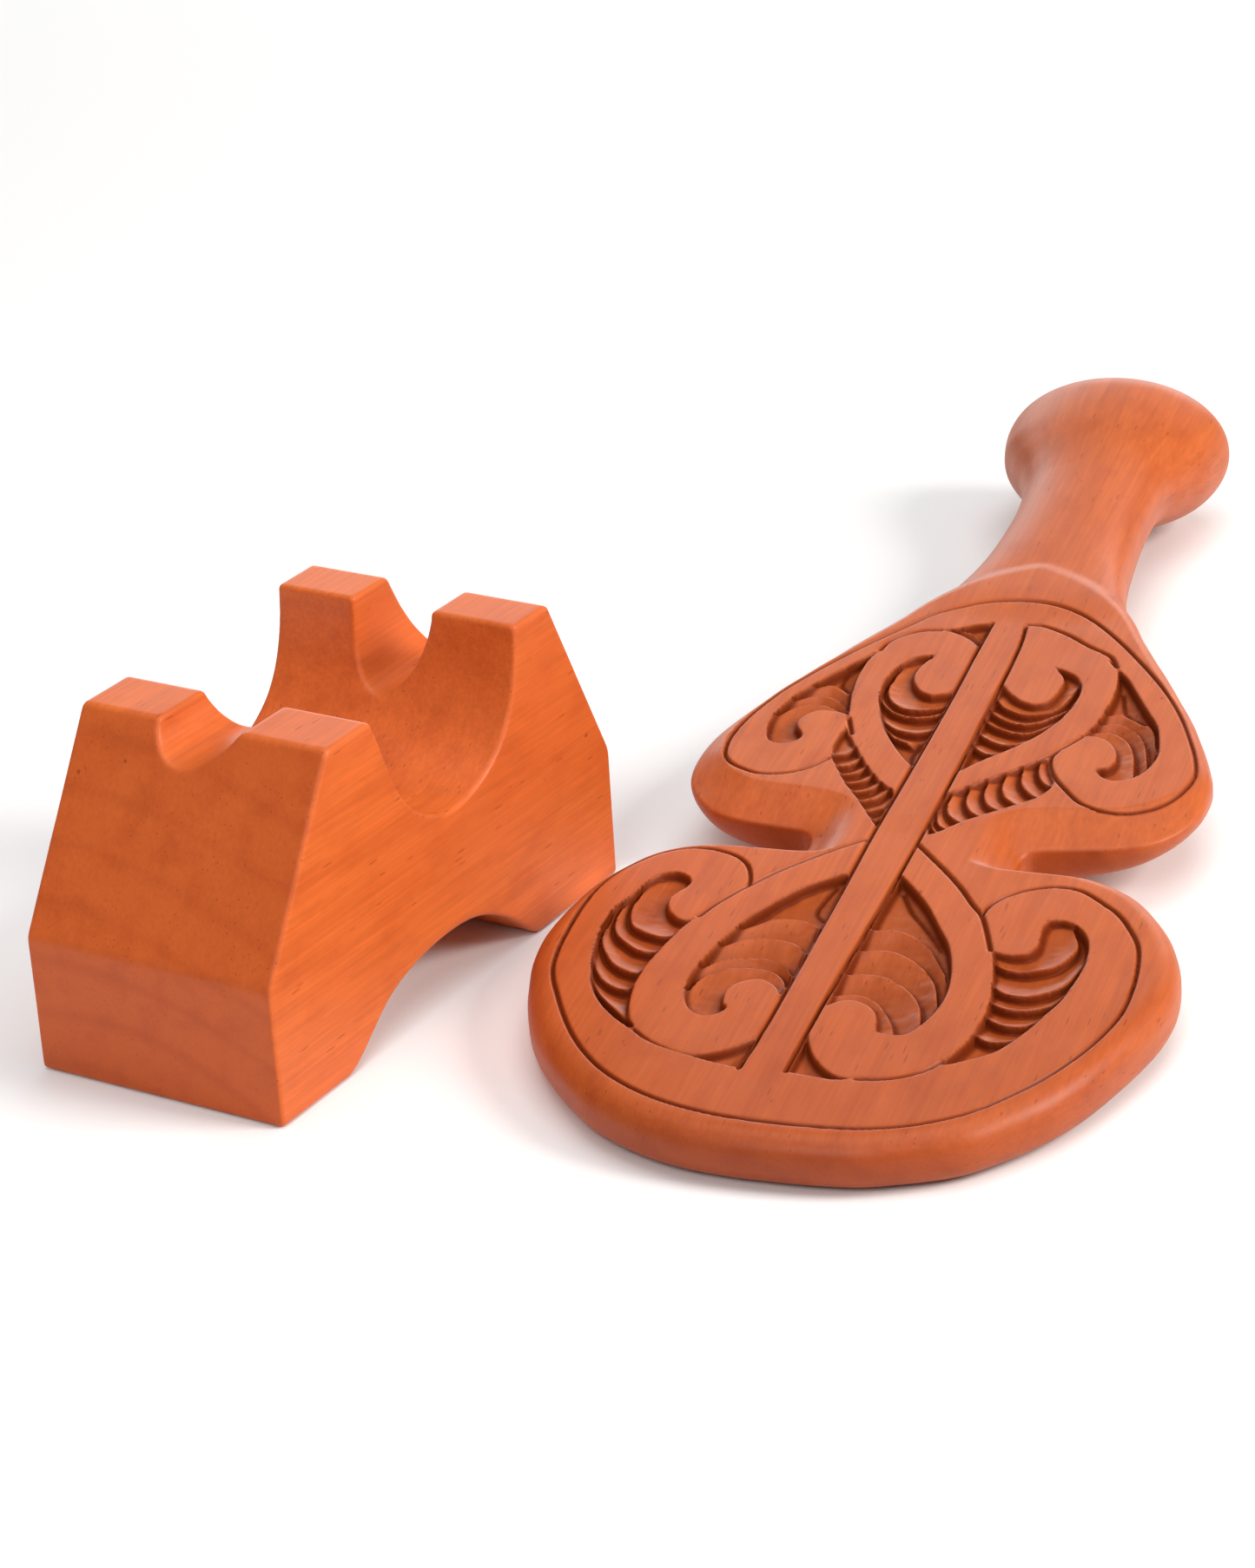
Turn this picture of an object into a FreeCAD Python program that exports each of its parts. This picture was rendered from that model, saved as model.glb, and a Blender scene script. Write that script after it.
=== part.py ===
import FreeCAD, Part
import os
import math
from FreeCAD import Vector

# Two-piece carved wooden set, in millimetres, +Z up:
#   club  - a short hand club with a figure-of-eight blade, a notch on each side,
#           a carved face, a round grip and a swelling butt knob; one block of wood
#   stand - the plain display rest that cradles it: one block with a tower at each
#           end, a U-shaped saddle cut in each tower and an arch underneath
# The club lies on its back beside the stand, on its far rim and its knob.

# ---------------------------------------------------------------- stand sizes
STAND_WIDTH = 60.0
STAND_LENGTH = 126.4
STAND_HEIGHT = 70.5
END_BAND = 29.5          # upright lower band of both end faces
NEAR_LEAN = 25.7         # how far the near end leans in above the band
FAR_LEAN = 20.0
NEAR_TOP = 15.0          # length of the near tower's flat top
FAR_TOP = 13.0
NEAR_FOOT = 24.3         # length of each foot's flat sole
FAR_FOOT = 32.8
SADDLE_LEFT = 40.3       # saddle's side walls, measured in from the right side
SADDLE_RIGHT = 20.8
NEAR_SADDLE_Z = 62.8     # lowest point of each saddle
FAR_SADDLE_Z = 51.6

# ----------------------------------------------------------------- club sizes
CLUB_TILT = 3.44         # degrees: lying on rim and knob the face rises to the knob
CLUB_TURN = 12.4         # degrees about Z, away from the stand's length
CLUB_AT = (90.73, 20.05, 11.48)   # face centre point at the blade's far end
RIM_RADIUS = 5.0
POCKET_DEPTH = 2.6
INCISION_WIDTH = 0.9
INCISION_DEPTH = 0.9

# bottom centre of the whole layout: becomes the frame's origin
ORIGIN_X = 43.04
ORIGIN_Y = 188.475


def spline(points, periodic=False):
    curve = Part.BSplineCurve()
    curve.interpolate([Vector(*p) for p in points], PeriodicFlag=periodic)
    return curve.toShape()


def closed_poly(points):
    pts = [Vector(*p) for p in points]
    return Part.makePolygon(pts + [pts[0]])


def table(rows, s):
    """Smooth look-up in a list of (s, value) rows (monotone cubic)."""
    n = len(rows)
    if s <= rows[0][0]:
        return rows[0][1]
    if s >= rows[-1][0]:
        return rows[-1][1]
    d = [(rows[i + 1][1] - rows[i][1]) / (rows[i + 1][0] - rows[i][0]) for i in range(n - 1)]
    m = [d[0]]
    for i in range(1, n - 1):
        m.append(0.0 if d[i - 1] * d[i] <= 0 else 2 * d[i - 1] * d[i] / (d[i - 1] + d[i]))
    m.append(d[-1])
    for i in range(n - 1):
        x0, y0 = rows[i]
        x1, y1 = rows[i + 1]
        if x0 <= s <= x1:
            h = x1 - x0
            t = (s - x0) / h
            return ((2 * t**3 - 3 * t**2 + 1) * y0 + (t**3 - 2 * t**2 + t) * h * m[i]
                    + (-2 * t**3 + 3 * t**2) * y1 + (t**3 - t**2) * h * m[i + 1])


# ---------------------------------------------------------------------- stand
def make_stand():
    W, L, H = STAND_WIDTH, STAND_LENGTH, STAND_HEIGHT
    y_arch0, y_arch1 = NEAR_FOOT, L - FAR_FOOT
    y_in0, y_in1 = NEAR_LEAN + NEAR_TOP, L - FAR_LEAN - FAR_TOP
    arch = [(y_arch0, 0.0), (28.2, 2.2), (32.4, 5.3), (37.3, 8.9), (42.0, 11.3), (48.1, 13.1),
            (54.0, 14.1), (61.2, 14.6), (67.5, 14.3), (73.1, 13.2), (78.2, 11.2), (83.2, 8.3),
            (87.8, 4.9), (y_arch1, 0.0)]
    valley = [(y_in1, H), (92.7, 63.5), (91.2, 57.5), (88.9, 52.4), (85.2, 47.6), (79.6, 43.7),
              (73.1, 41.4), (67.0, 40.7), (61.3, 41.7), (55.6, 44.5), (51.0, 48.6), (47.7, 53.6),
              (44.9, 60.2), (42.8, 65.8), (y_in0, H)]

    def yz(points):
        return [(0.0, y, z) for y, z in points]

    def line(a, b):
        return Part.makeLine(Vector(0, *a), Vector(0, *b))

    edges = [
        line((0, 0), (y_arch0, 0)),
        spline(yz(arch)),
        line((y_arch1, 0), (L, 0)),
        line((L, 0), (L, END_BAND)),
        line((L, END_BAND), (L - FAR_LEAN, H)),
        line((L - FAR_LEAN, H), (y_in1, H)),
        spline(yz(valley)),
        line((y_in0, H), (NEAR_LEAN, H)),
        line((NEAR_LEAN, H), (0, END_BAND)),
        line((0, END_BAND), (0, 0)),
    ]
    body = Part.Face(Part.Wire(edges)).extrude(Vector(-W, 0, 0))

    # saddles: one U cut through each tower along the stand's length
    def saddle(points, y0, y1):
        top = H + 6.0
        pts = [(-x, y0, z) for x, z in points]
        wire = Part.Wire([
            Part.makeLine(Vector(pts[0][0], y0, top), Vector(*pts[0])),
            spline(pts),
            Part.makeLine(Vector(*pts[-1]), Vector(pts[-1][0], y0, top)),
            Part.makeLine(Vector(pts[-1][0], y0, top), Vector(pts[0][0], y0, top)),
        ])
        return Part.Face(wire).extrude(Vector(0, y1 - y0, 0))

    a, b = SADDLE_LEFT, SADDLE_RIGHT
    zn, zf = NEAR_SADDLE_Z, FAR_SADDLE_Z
    near = saddle([(a, H), (a - 0.3, 68.0), (a - 1.8, 65.2), (a - 4.7, zn + 0.4), (32.3, zn),
                   (28.8, zn + 0.9), (25.4, zn + 3.0), (22.7, zn + 5.4), (b, H)], -5.0, 67.0)
    far = saddle([(a, H), (a - 0.1, 66.0), (a - 0.5, 61.5), (a - 1.7, 57.0), (a - 4.1, zf + 1.7),
                  (33.0, zf), (30.0, zf + 0.7), (27.0, zf + 3.3), (24.4, zf + 7.2),
                  (22.4, zf + 11.9), (21.2, zf + 16.0), (b, H)], 67.0, L + 5.0)
    body = body.cut(near).cut(far)
    return body


# ----------------------------------------------------------------------- club
# local frame: x to the right, y from the blade's far end to the knob, z out of the face
CENTRE = [(-5, 4.0), (60, 4.0), (148, 2.2), (180, 1.5), (210, 0.5), (230, -0.2), (262, -1.4),
          (290, -2.3), (305, -3.2), (320, -4.8), (335, -5.6), (347, -5.8), (365, -5.7)]
BLADE_END = -3.4
# half-widths of the blade either side of the centre line: lower lobe, notch, upper lobe, root
RIGHT_SIDE = [(-3.0, 10), (-1.7, 20), (1.0, 28), (5, 36), (10, 42.3), (20, 50.5), (30, 56.2),
              (40, 60.1), (50, 63.3), (60, 65.6), (70, 66), (80, 64.2), (90, 60.2), (100, 53.4),
              (105, 46.8), (108, 39), (109.3, 33),
              (109.8, 26.5), (111.5, 23.6), (115.5, 22.8), (119.5, 23.6), (121.5, 26.5),
              (123.1, 33), (124.6, 40), (126.8, 46), (130.2, 50.3), (134.6, 53.6), (140, 55.9),
              (146, 57.1), (155, 56.8), (162, 55.1), (170, 52.5), (180, 48.6), (190, 44.2),
              (200, 39.6), (210, 34.7), (220, 29.8), (228, 26), (235, 21), (242, 14), (248, 5)]
LEFT_SIDE = [(-3.2, 6), (-2.2, 15), (0.5, 24), (5, 32.6), (10, 39.2), (20, 48.4), (30, 55.2),
             (40, 60), (50, 63.4), (60, 65.6), (70, 65.8), (80, 64.2), (90, 61.2), (100, 55.5),
             (105, 49.2), (108, 41), (109.3, 33.5),
             (109.8, 26.5), (111.5, 23.6), (115.5, 22.8), (119.5, 23.6), (121.5, 26.5),
             (122.4, 33), (123.5, 40), (125.5, 46), (129, 50.3), (133.5, 53.6), (139, 55.8),
             (146, 56.6), (155, 55.6), (162, 53.8), (170, 51.3), (180, 47.6), (190, 43.2),
             (200, 38.6), (210, 33.8), (220, 29), (228, 25.4), (235, 20.5), (242, 14), (248, 5)]
# the back: its depth on the centre line, and how much it rises at 60 mm out to each side
UNDERSIDE = [(-6, 11.04), (0, 11.4), (40, 13.8), (70, 14.7), (100, 15.5), (150, 17), (230, 19), (280, 20)]
CROWN = [(-6, 0.0), (0, 0.2), (40, 1.2), (70, 1.8), (100, 4.5), (112, 6.5), (125, 9.0), (140, 8.4),
         (155, 7.2), (180, 6.5), (210, 6.0), (250, 5.0), (280, 4.0)]
GRIP_HALF_WIDTH = [(212, 30.4), (222, 26.9), (232, 24.3), (240, 21.9), (250, 19.5), (260, 17.9),
                   (270, 17.1), (290, 16.4), (305, 17.0), (315, 18.8), (325, 22.9), (335, 26.8),
                   (346, 28.6), (352, 27.7), (358, 24.0), (362, 18.0), (364.67, 9)]
GRIP_TOP = [(212, -1.5), (222, -0.8), (232, -0.2), (255, 0.5), (275, 1.0), (290, 1.5), (305, 2.1),
            (318, 3.1), (330, 4.4), (342, 5.2), (347, 5.3), (352, 4.6), (358, 1.5), (362, -2.9),
            (364.67, -8.6)]
GRIP_BOTTOM = [(212, -16.5), (222, -17.6), (232, -18.9), (255, -19.6), (275, -20), (290, -20.4),
               (305, -21.4), (318, -23.6), (330, -27.8), (342, -31.5), (347, -32), (352, -31.2),
               (358, -28), (362, -23.5), (364.67, -17.4)]
GRIP_POWER = [(212, 4.0), (232, 3.6), (255, 2.8), (275, 2.3), (300, 2.1), (365, 2.0)]

# carved face: outlines of the sunk fields and centre lines of the incised lines
POCKETS = {
    "L1": [
        (-39.8, 92.8), (-41.9, 93.0), (-44.3, 91.7), (-46.1, 88.4), (-47.1, 84.3), (-48.5, 79.8),
        (-49.7, 75.5), (-49.9, 70.7), (-49.4, 64.9), (-48.4, 59.1), (-46.9, 53.2), (-44.9, 47.3),
        (-42.3, 42.2), (-39.3, 38.1), (-35.8, 34.5), (-31.3, 31.0), (-30.3, 31.6), (-32.7, 36.1),
        (-34.5, 42.0), (-35.5, 48.2), (-35.4, 55.8), (-34.4, 63.4), (-33.0, 70.5), (-31.2, 76.1),
        (-32.4, 74.5), (-34.2, 74.1), (-36.2, 75.5), (-38.1, 78.0), (-39.1, 81.6), (-38.5, 84.4),
        (-37.3, 86.8), (-36.9, 89.3), (-37.8, 91.3),
    ],
    "L2": [
        (-6.0, 99.2), (-8.4, 97.1), (-12.9, 92.5), (-16.7, 86.3), (-20.4, 78.9), (-22.6, 71.8),
        (-24.4, 64.3), (-25.5, 56.7), (-25.6, 51.0), (-24.9, 46.1), (-23.2, 42.1), (-20.9, 39.4),
        (-18.4, 38.4), (-16.0, 39.4), (-14.6, 41.6), (-14.8, 42.9), (-15.7, 43.8), (-16.3, 46.2),
        (-16.5, 48.9), (-15.4, 51.4), (-13.5, 53.1), (-11.2, 53.9), (-8.5, 52.6), (-6.4, 49.9),
        (-5.2, 46.5), (-5.1, 60.3), (-5.1, 79.7), (-5.2, 97.2),
    ],
    "L3": [
        (-31.3, 31.0), (-27.6, 27.9), (-23.1, 25.5), (-17.1, 23.6), (-11.1, 22.0), (-5.7, 21.0),
        (-5.4, 25.9), (-5.3, 33.5), (-6.3, 32.1), (-8.1, 29.5), (-10.4, 27.0), (-13.4, 25.1),
        (-16.3, 24.1), (-20.8, 25.3), (-25.3, 27.5), (-28.8, 30.3), (-30.3, 31.6),
    ],
    "R2": [
        (5.6, 100.0), (9.9, 94.7), (14.4, 88.4), (19.0, 80.2), (22.1, 74.6), (24.5, 67.9), (26.1, 61.0),
        (26.7, 55.1), (26.3, 48.4), (24.7, 42.8), (22.8, 39.2), (19.7, 38.5), (16.7, 38.9), (16.0, 41.2),
        (15.2, 44.4), (13.7, 47.0), (11.4, 48.8), (8.7, 49.5), (6.3, 48.4), (4.3, 45.9), (4.0, 59.4),
        (4.4, 78.7), (4.8, 98.1),
    ],
    "R3": [
        (3.9, 40.2), (4.3, 36.0), (5.4, 32.4), (7.4, 28.4), (10.2, 24.8), (13.7, 22.0), (17.5, 21.6),
        (13.7, 20.4), (8.4, 20.8), (3.8, 21.5), (3.7, 30.7),
    ],
    "R1": [
        (39.2, 87.3), (42.0, 88.2), (45.1, 86.9), (47.8, 84.1), (49.6, 80.0), (50.7, 74.0), (50.6, 68.2),
        (50.1, 62.4), (49.2, 56.7), (47.6, 51.4), (45.8, 45.8), (43.6, 40.3), (41.0, 35.7), (37.2, 32.5),
        (34.1, 30.3), (31.8, 29.4), (33.8, 35.1), (35.2, 40.7), (35.7, 48.4), (35.3, 55.2), (34.2, 61.1),
        (32.7, 68.1), (30.9, 73.7), (33.5, 72.9), (35.8, 72.8), (38.3, 74.1), (39.5, 77.1), (39.2, 80.7),
        (38.9, 84.0),
    ],
    "U1": [
        (-27.4, 200.9), (-28.5, 195.3), (-28.6, 188.3), (-28.1, 182.3), (-26.9, 175.2), (-25.1, 167.0),
        (-26.4, 168.5), (-29.4, 169.4), (-32.4, 169.3), (-34.5, 167.5), (-35.7, 164.2), (-35.2, 161.4),
        (-33.8, 159.3), (-32.9, 157.2), (-33.4, 154.9), (-35.3, 153.1), (-37.9, 152.7), (-40.2, 154.3),
        (-41.8, 158.6), (-42.4, 163.6), (-41.9, 169.0), (-40.4, 175.4), (-37.8, 181.5), (-33.6, 189.8),
        (-30.3, 196.1),
    ],
    "U2": [
        (-14.7, 200.6), (-16.5, 200.1), (-18.8, 198.5), (-20.5, 195.2), (-21.8, 191.3), (-22.3, 185.8),
        (-21.8, 179.7), (-20.2, 173.6), (-17.9, 167.4), (-15.5, 162.2), (-12.5, 156.9), (-8.6, 151.0),
        (-5.5, 147.2), (-5.2, 158.3), (-5.1, 170.2), (-5.2, 184.6), (-7.2, 182.4), (-9.9, 181.0),
        (-12.6, 182.5), (-14.7, 185.5), (-16.0, 189.2), (-16.0, 193.2), (-15.2, 197.0), (-14.3, 198.9),
    ],
    "U5": [
        (-16.3, 213.2), (-12.7, 214.7), (-9.6, 217.1), (-5.6, 218.8), (-5.4, 211.5), (-5.4, 204.4),
        (-7.7, 208.0), (-11.6, 211.4),
    ],
    "U3": [
        (13.7, 199.1), (17.2, 197.4), (20.4, 194.7), (22.1, 190.7), (22.7, 185.8), (22.2, 178.8),
        (20.6, 171.9), (17.8, 165.1), (13.7, 158.5), (9.1, 152.4), (5.2, 146.2), (4.7, 157.3),
        (4.4, 167.3), (4.2, 177.4), (4.1, 190.3), (5.3, 187.7), (7.6, 184.5), (10.6, 181.6), (13.7, 180.6),
        (16.0, 182.0), (17.2, 185.9), (17.6, 190.3), (16.9, 194.0), (15.2, 196.8),
    ],
    "U4": [
        (27.7, 201.1), (31.6, 195.9), (35.4, 188.7), (39.3, 181.3), (42.7, 174.9), (44.7, 167.7),
        (45.8, 161.6), (45.4, 156.6), (44.3, 152.7), (42.3, 149.7), (39.2, 148.2), (36.4, 149.0),
        (34.4, 151.4), (34.2, 153.2), (35.9, 153.9), (37.0, 156.4), (36.7, 160.0), (35.4, 163.3),
        (33.0, 166.2), (30.2, 167.4), (27.6, 167.1), (29.2, 173.7), (29.8, 181.1), (29.8, 189.2),
        (28.9, 195.8),
    ],
    "SL": [
        (-24.6, 163.0), (-22.4, 159.0), (-18.5, 152.1), (-14.7, 145.8), (-10.1, 139.5), (-5.6, 134.7),
        (-5.5, 126.6), (-5.4, 119.1), (-8.5, 123.5), (-13.1, 130.7), (-17.7, 137.2), (-21.1, 143.1),
        (-23.6, 147.6), (-24.8, 152.1), (-25.1, 158.1),
    ],
    "SR": [
        (23.4, 155.6), (24.6, 151.1), (26.8, 145.7), (26.3, 141.4), (24.5, 137.6), (20.6, 133.6),
        (16.0, 129.1), (11.7, 124.6), (8.3, 119.8), (5.9, 117.6), (5.0, 121.7), (4.8, 127.6), (4.9, 135.5),
        (8.6, 140.1), (13.2, 145.6), (17.8, 151.0), (20.9, 154.7),
    ],
}
LINES = {
    "B_low": [
        (-30.8, 101.7), (-34.8, 103.4), (-39.0, 104.0), (-43.2, 103.1), (-47.7, 100.0), (-51.4, 95.5),
        (-54.0, 90.8), (-55.6, 84.8), (-56.3, 77.1), (-56.2, 69.5), (-55.6, 59.8), (-54.3, 51.7),
        (-52.3, 46.1), (-49.7, 40.9), (-46.1, 34.1), (-41.6, 26.8), (-36.4, 20.2), (-30.5, 14.6),
        (-23.0, 9.8), (-14.0, 6.2), (-3.5, 4.1), (6.9, 3.7), (15.9, 4.0), (24.1, 5.1), (33.3, 8.4),
        (42.0, 14.5), (48.5, 22.4), (53.1, 29.6), (57.3, 38.4), (60.1, 46.8), (61.8, 55.4), (61.8, 65.1),
        (60.8, 74.0), (59.2, 81.0), (56.1, 87.2), (52.8, 92.2), (48.2, 96.6), (43.9, 100.0), (40.5, 101.1),
        (36.7, 100.9), (32.5, 98.9), (29.4, 96.3),
    ],
    "C_R": [
        (6.08, 112.49), (9.9, 108.0), (14.4, 102.7), (19.0, 96.7), (22.8, 90.9), (25.6, 87.1),
        (27.9, 81.8), (30.48, 74.83),
    ],
    "I_UR": [
        (4.0, 219.07), (6.7, 219.0), (12.9, 215.6), (19.1, 210.6), (23.0, 208.0), (25.7, 205.4),
        (27.19, 202.19),
    ],
    "H_UL": [
        (-27.21, 202.08), (-26.7, 205.2), (-24.3, 209.1), (-20.4, 212.2), (-17.47, 212.92),
    ],
    "K_LR": [
        (18.68, 21.81), (22.0, 22.4), (26.2, 24.2), (29.9, 27.3), (31.66, 30.09),
    ],
    "C_Lr": [
        (-25.29, 89.36), (-26.8, 86.7), (-29.2, 81.7), (-30.8, 77.23),
    ],
    "B_up": [
        (-24.2, 147.7), (-26.9, 143.4), (-30.2, 140.4), (-33.7, 138.9), (-37.5, 138.5), (-41.3, 139.8),
        (-44.8, 142.1), (-47.1, 145.3), (-48.2, 149.9), (-48.5, 154.7), (-47.9, 161.2), (-46.3, 169.0),
        (-43.6, 177.7), (-39.4, 187.3), (-34.2, 197.8), (-28.6, 207.4), (-23.5, 215.7), (-19.7, 221.4),
        (-14.3, 225.8), (-8.9, 228.8), (-2.7, 230.4), (2.8, 230.5), (7.4, 229.5), (12.9, 226.8),
        (17.6, 223.0), (22.2, 217.9), (26.9, 212.0), (31.6, 205.5), (36.3, 198.6), (40.9, 191.3),
        (44.8, 184.1), (48.3, 176.5), (51.4, 168.5), (53.7, 161.9), (55.2, 155.7), (55.4, 151.7),
        (54.5, 146.8), (52.8, 142.5), (50.0, 138.6), (45.6, 135.6), (41.4, 134.8), (37.6, 135.4),
        (33.7, 137.7), (29.9, 142.3), (26.8, 146.7), (24.6, 151.1), (23.6, 154.6), (23.4, 157.0),
        (24.3, 160.5),
    ],
    "C_L": [
        (-24.7, 90.4), (-20.5, 97.1), (-16.0, 102.9), (-11.5, 108.3), (-5.4, 114.4),
    ],
    "rib_L": [
        (-5.6, 218.6), (-5.4, 198.3), (-5.2, 178.2), (-5.2, 158.3), (-5.3, 138.4), (-5.4, 111.9),
        (-5.1, 79.7), (-5.0, 46.5), (-5.1, 33.5), (-5.6, 21.0),
    ],
    "rib_R": [
        (2.5, 217.9), (3.4, 209.7), (3.9, 197.5), (4.2, 177.4), (4.6, 157.4), (4.8, 137.5), (4.8, 110.9),
        (4.7, 98.2), (4.3, 78.7), (3.8, 59.4), (3.6, 40.2), (3.6, 21.5),
    ],
}


def make_blade():
    right = [(table(CENTRE, s) + h, s) for s, h in RIGHT_SIDE]
    left = [(table(CENTRE, s) - h, s) for s, h in LEFT_SIDE]
    outline = [(table(CENTRE, BLADE_END), BLADE_END)] + right + [(table(CENTRE, 250), 250.0)] + left[::-1]
    wire = Part.Wire([spline([(x, y, -40.0) for x, y in outline], periodic=True)])
    prism = Part.Face(wire).extrude(Vector(0, 0, 40))

    # what lies below the crowned back
    def below(s):
        c, t, k = table(CENTRE, s), table(UNDERSIDE, s), table(CROWN, s)
        back = [(c + w, s, -t + k * (w / 60.0) ** 2) for w in range(-84, 85, 12)]
        x0, z0 = back[0][0], back[0][2]
        x1, z1 = back[-1][0], back[-1][2]
        return Part.Wire([
            spline(back),
            Part.makeLine(Vector(x1, s, z1), Vector(x1, s, -60)),
            Part.makeLine(Vector(x1, s, -60), Vector(x0, s, -60)),
            Part.makeLine(Vector(x0, s, -60), Vector(x0, s, z0)),
        ])
    stations = [-12, -6, 0, 20, 40, 60, 80, 95, 105, 115, 125, 140, 160, 180, 205, 230, 255, 285]
    return prism.cut(Part.makeLoft([below(s) for s in stations], True, False))


def section(s):
    c = table(CENTRE, s)
    a = table(GRIP_HALF_WIDTH, s)
    top, bot = table(GRIP_TOP, s), table(GRIP_BOTTOM, s)
    p = table(GRIP_POWER, s)
    mid, b = (top + bot) / 2, (top - bot) / 2
    pts = []
    for i in range(24):
        t = 2 * math.pi * i / 24
        ct, st = math.cos(t), math.sin(t)
        r = (abs(ct) ** p + abs(st) ** p) ** (-1 / p)
        pts.append((c + a * r * ct, s, mid + b * r * st))
    return Part.Wire([spline(pts, periodic=True)])


def make_grip():
    stations = [212, 222, 232, 240, 250, 260, 270, 282, 294, 305, 312, 318, 325, 332, 340, 347,
                352, 356, 359.5, 362, 363.6, 364.67]
    return Part.makeLoft([section(s) for s in stations], True, False)


def channel(points, width, depth, z_top=2.0):
    """A groove that follows a list of face points."""
    n = len(points)
    left, right = [], []
    for i, (x, y) in enumerate(points):
        x0, y0 = points[max(i - 1, 0)]
        x1, y1 = points[min(i + 1, n - 1)]
        l = math.hypot(x1 - x0, y1 - y0)
        nx, ny = -(y1 - y0) / l * width / 2, (x1 - x0) / l * width / 2
        left.append((x + nx, y + ny, -depth))
        right.append((x - nx, y - ny, -depth))
    a = spline(left) if n > 2 else Part.makeLine(Vector(*left[0]), Vector(*left[-1]))
    b = spline(right) if n > 2 else Part.makeLine(Vector(*right[0]), Vector(*right[-1]))
    wire = Part.Wire([a, Part.makeLine(Vector(*left[-1]), Vector(*right[-1])), b,
                      Part.makeLine(Vector(*right[0]), Vector(*left[0]))])
    return Part.Face(wire).extrude(Vector(0, 0, depth + z_top))


def pocket(points, depth, z_top=2.0):
    wire = closed_poly([(x, y, -depth) for x, y in points])
    return Part.Face(wire).extrude(Vector(0, 0, depth + z_top))


def make_club():
    blade = make_blade()
    rims = [e for e in blade.Edges if e.Length > 150 and e.BoundBox.YLength > 150]
    done = False
    for radius in (RIM_RADIUS, 4.0, 3.0, 2.0):
        try:
            r = blade.makeFillet(radius, rims)
            if r.isValid() and len(r.Solids) == 1:
                blade, done = r, True
                print("rim rounded to", radius)
                break
        except Exception as err:
            print("rim radius", radius, "failed:", err)
    if not done:
        print("rim left square")
    club = blade.fuse(make_grip())
    print("club fused: valid", club.isValid(), "solids", len(club.Solids), "volume", round(club.Volume))
    for name, pts in POCKETS.items():
        cut = club.cut(pocket(pts, POCKET_DEPTH))
        if cut.isValid() and len(cut.Solids) == 1:
            club = cut
        else:
            print("pocket", name, "skipped")
    for name, pts in LINES.items():
        try:
            cut = club.cut(channel(pts, INCISION_WIDTH, INCISION_DEPTH))
        except Exception as err:
            print("line", name, "failed:", err)
            continue
        if cut.isValid() and len(cut.Solids) >= 1:
            big = max(cut.Solids, key=lambda q: q.Volume)
            if big.Volume > 0.99 * club.Volume:
                club = big
                continue
        print("line", name, "skipped")
    club = club.Solids[0] if len(club.Solids) == 1 else max(club.Solids, key=lambda q: q.Volume)
    place = (FreeCAD.Placement(Vector(*CLUB_AT), FreeCAD.Rotation(Vector(0, 0, 1), CLUB_TURN))
             .multiply(FreeCAD.Placement(Vector(0, 0, 0), FreeCAD.Rotation(Vector(1, 0, 0), CLUB_TILT))))
    return club.transformed(place.toMatrix())


os.makedirs("parts", exist_ok=True)
stand = make_stand()
club = make_club()
parts = {"stand": stand, "club": club}
boxes = []
for name, shape in parts.items():
    shape = shape.translated(Vector(-ORIGIN_X, -ORIGIN_Y, 0))
    parts[name] = shape
    box = shape.optimalBoundingBox(False, False)
    boxes.append(box)
    print(name, "valid", shape.isValid(), "solids", len(shape.Solids), "volume cm3", round(shape.Volume / 1000, 2),
          "box", [round(v, 2) for v in (box.XMin, box.YMin, box.ZMin, box.XMax, box.YMax, box.ZMax)])
    (shape.Solids[0] if len(shape.Solids) == 1 else shape).exportStep("parts/%s.step" % name)
print("overlap volume", round(parts["stand"].common(parts["club"]).Volume, 4))
xs = [v for b in boxes for v in (b.XMin, b.XMax)]
ys = [v for b in boxes for v in (b.YMin, b.YMax)]
print("layout centre", round((min(xs) + max(xs)) / 2, 3), round((min(ys) + max(ys)) / 2, 3))
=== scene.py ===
import math

import bpy
import numpy as np
from mathutils import Matrix, Vector


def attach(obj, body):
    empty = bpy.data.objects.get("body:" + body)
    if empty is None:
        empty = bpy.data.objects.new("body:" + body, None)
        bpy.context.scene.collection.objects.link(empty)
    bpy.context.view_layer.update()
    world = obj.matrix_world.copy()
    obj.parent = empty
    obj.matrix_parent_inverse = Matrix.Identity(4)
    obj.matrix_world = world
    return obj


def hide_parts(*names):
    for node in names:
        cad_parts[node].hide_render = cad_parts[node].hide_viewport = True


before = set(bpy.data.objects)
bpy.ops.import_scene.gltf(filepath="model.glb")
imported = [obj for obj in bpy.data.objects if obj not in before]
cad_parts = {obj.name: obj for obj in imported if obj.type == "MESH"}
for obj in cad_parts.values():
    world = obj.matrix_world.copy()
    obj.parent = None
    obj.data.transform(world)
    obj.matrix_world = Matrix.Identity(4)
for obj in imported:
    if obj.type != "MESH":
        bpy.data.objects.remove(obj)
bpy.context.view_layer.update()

# ------------------------------------------------------------------ placement
# millimetre figures; the row frame is metres, origin under the layout's middle
ORIGIN = np.array([43.04, 188.475, 0.0])
CLUB_AT = np.array([90.73, 20.05, 11.48])
TURN, TILT = math.radians(12.4), math.radians(3.44)
CLUB_X = np.array([math.cos(TURN), math.sin(TURN), 0.0])
CLUB_Y = np.array([-math.sin(TURN) * math.cos(TILT), math.cos(TURN) * math.cos(TILT), math.sin(TILT)])
CLUB_Z = np.cross(CLUB_X, CLUB_Y)

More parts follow.
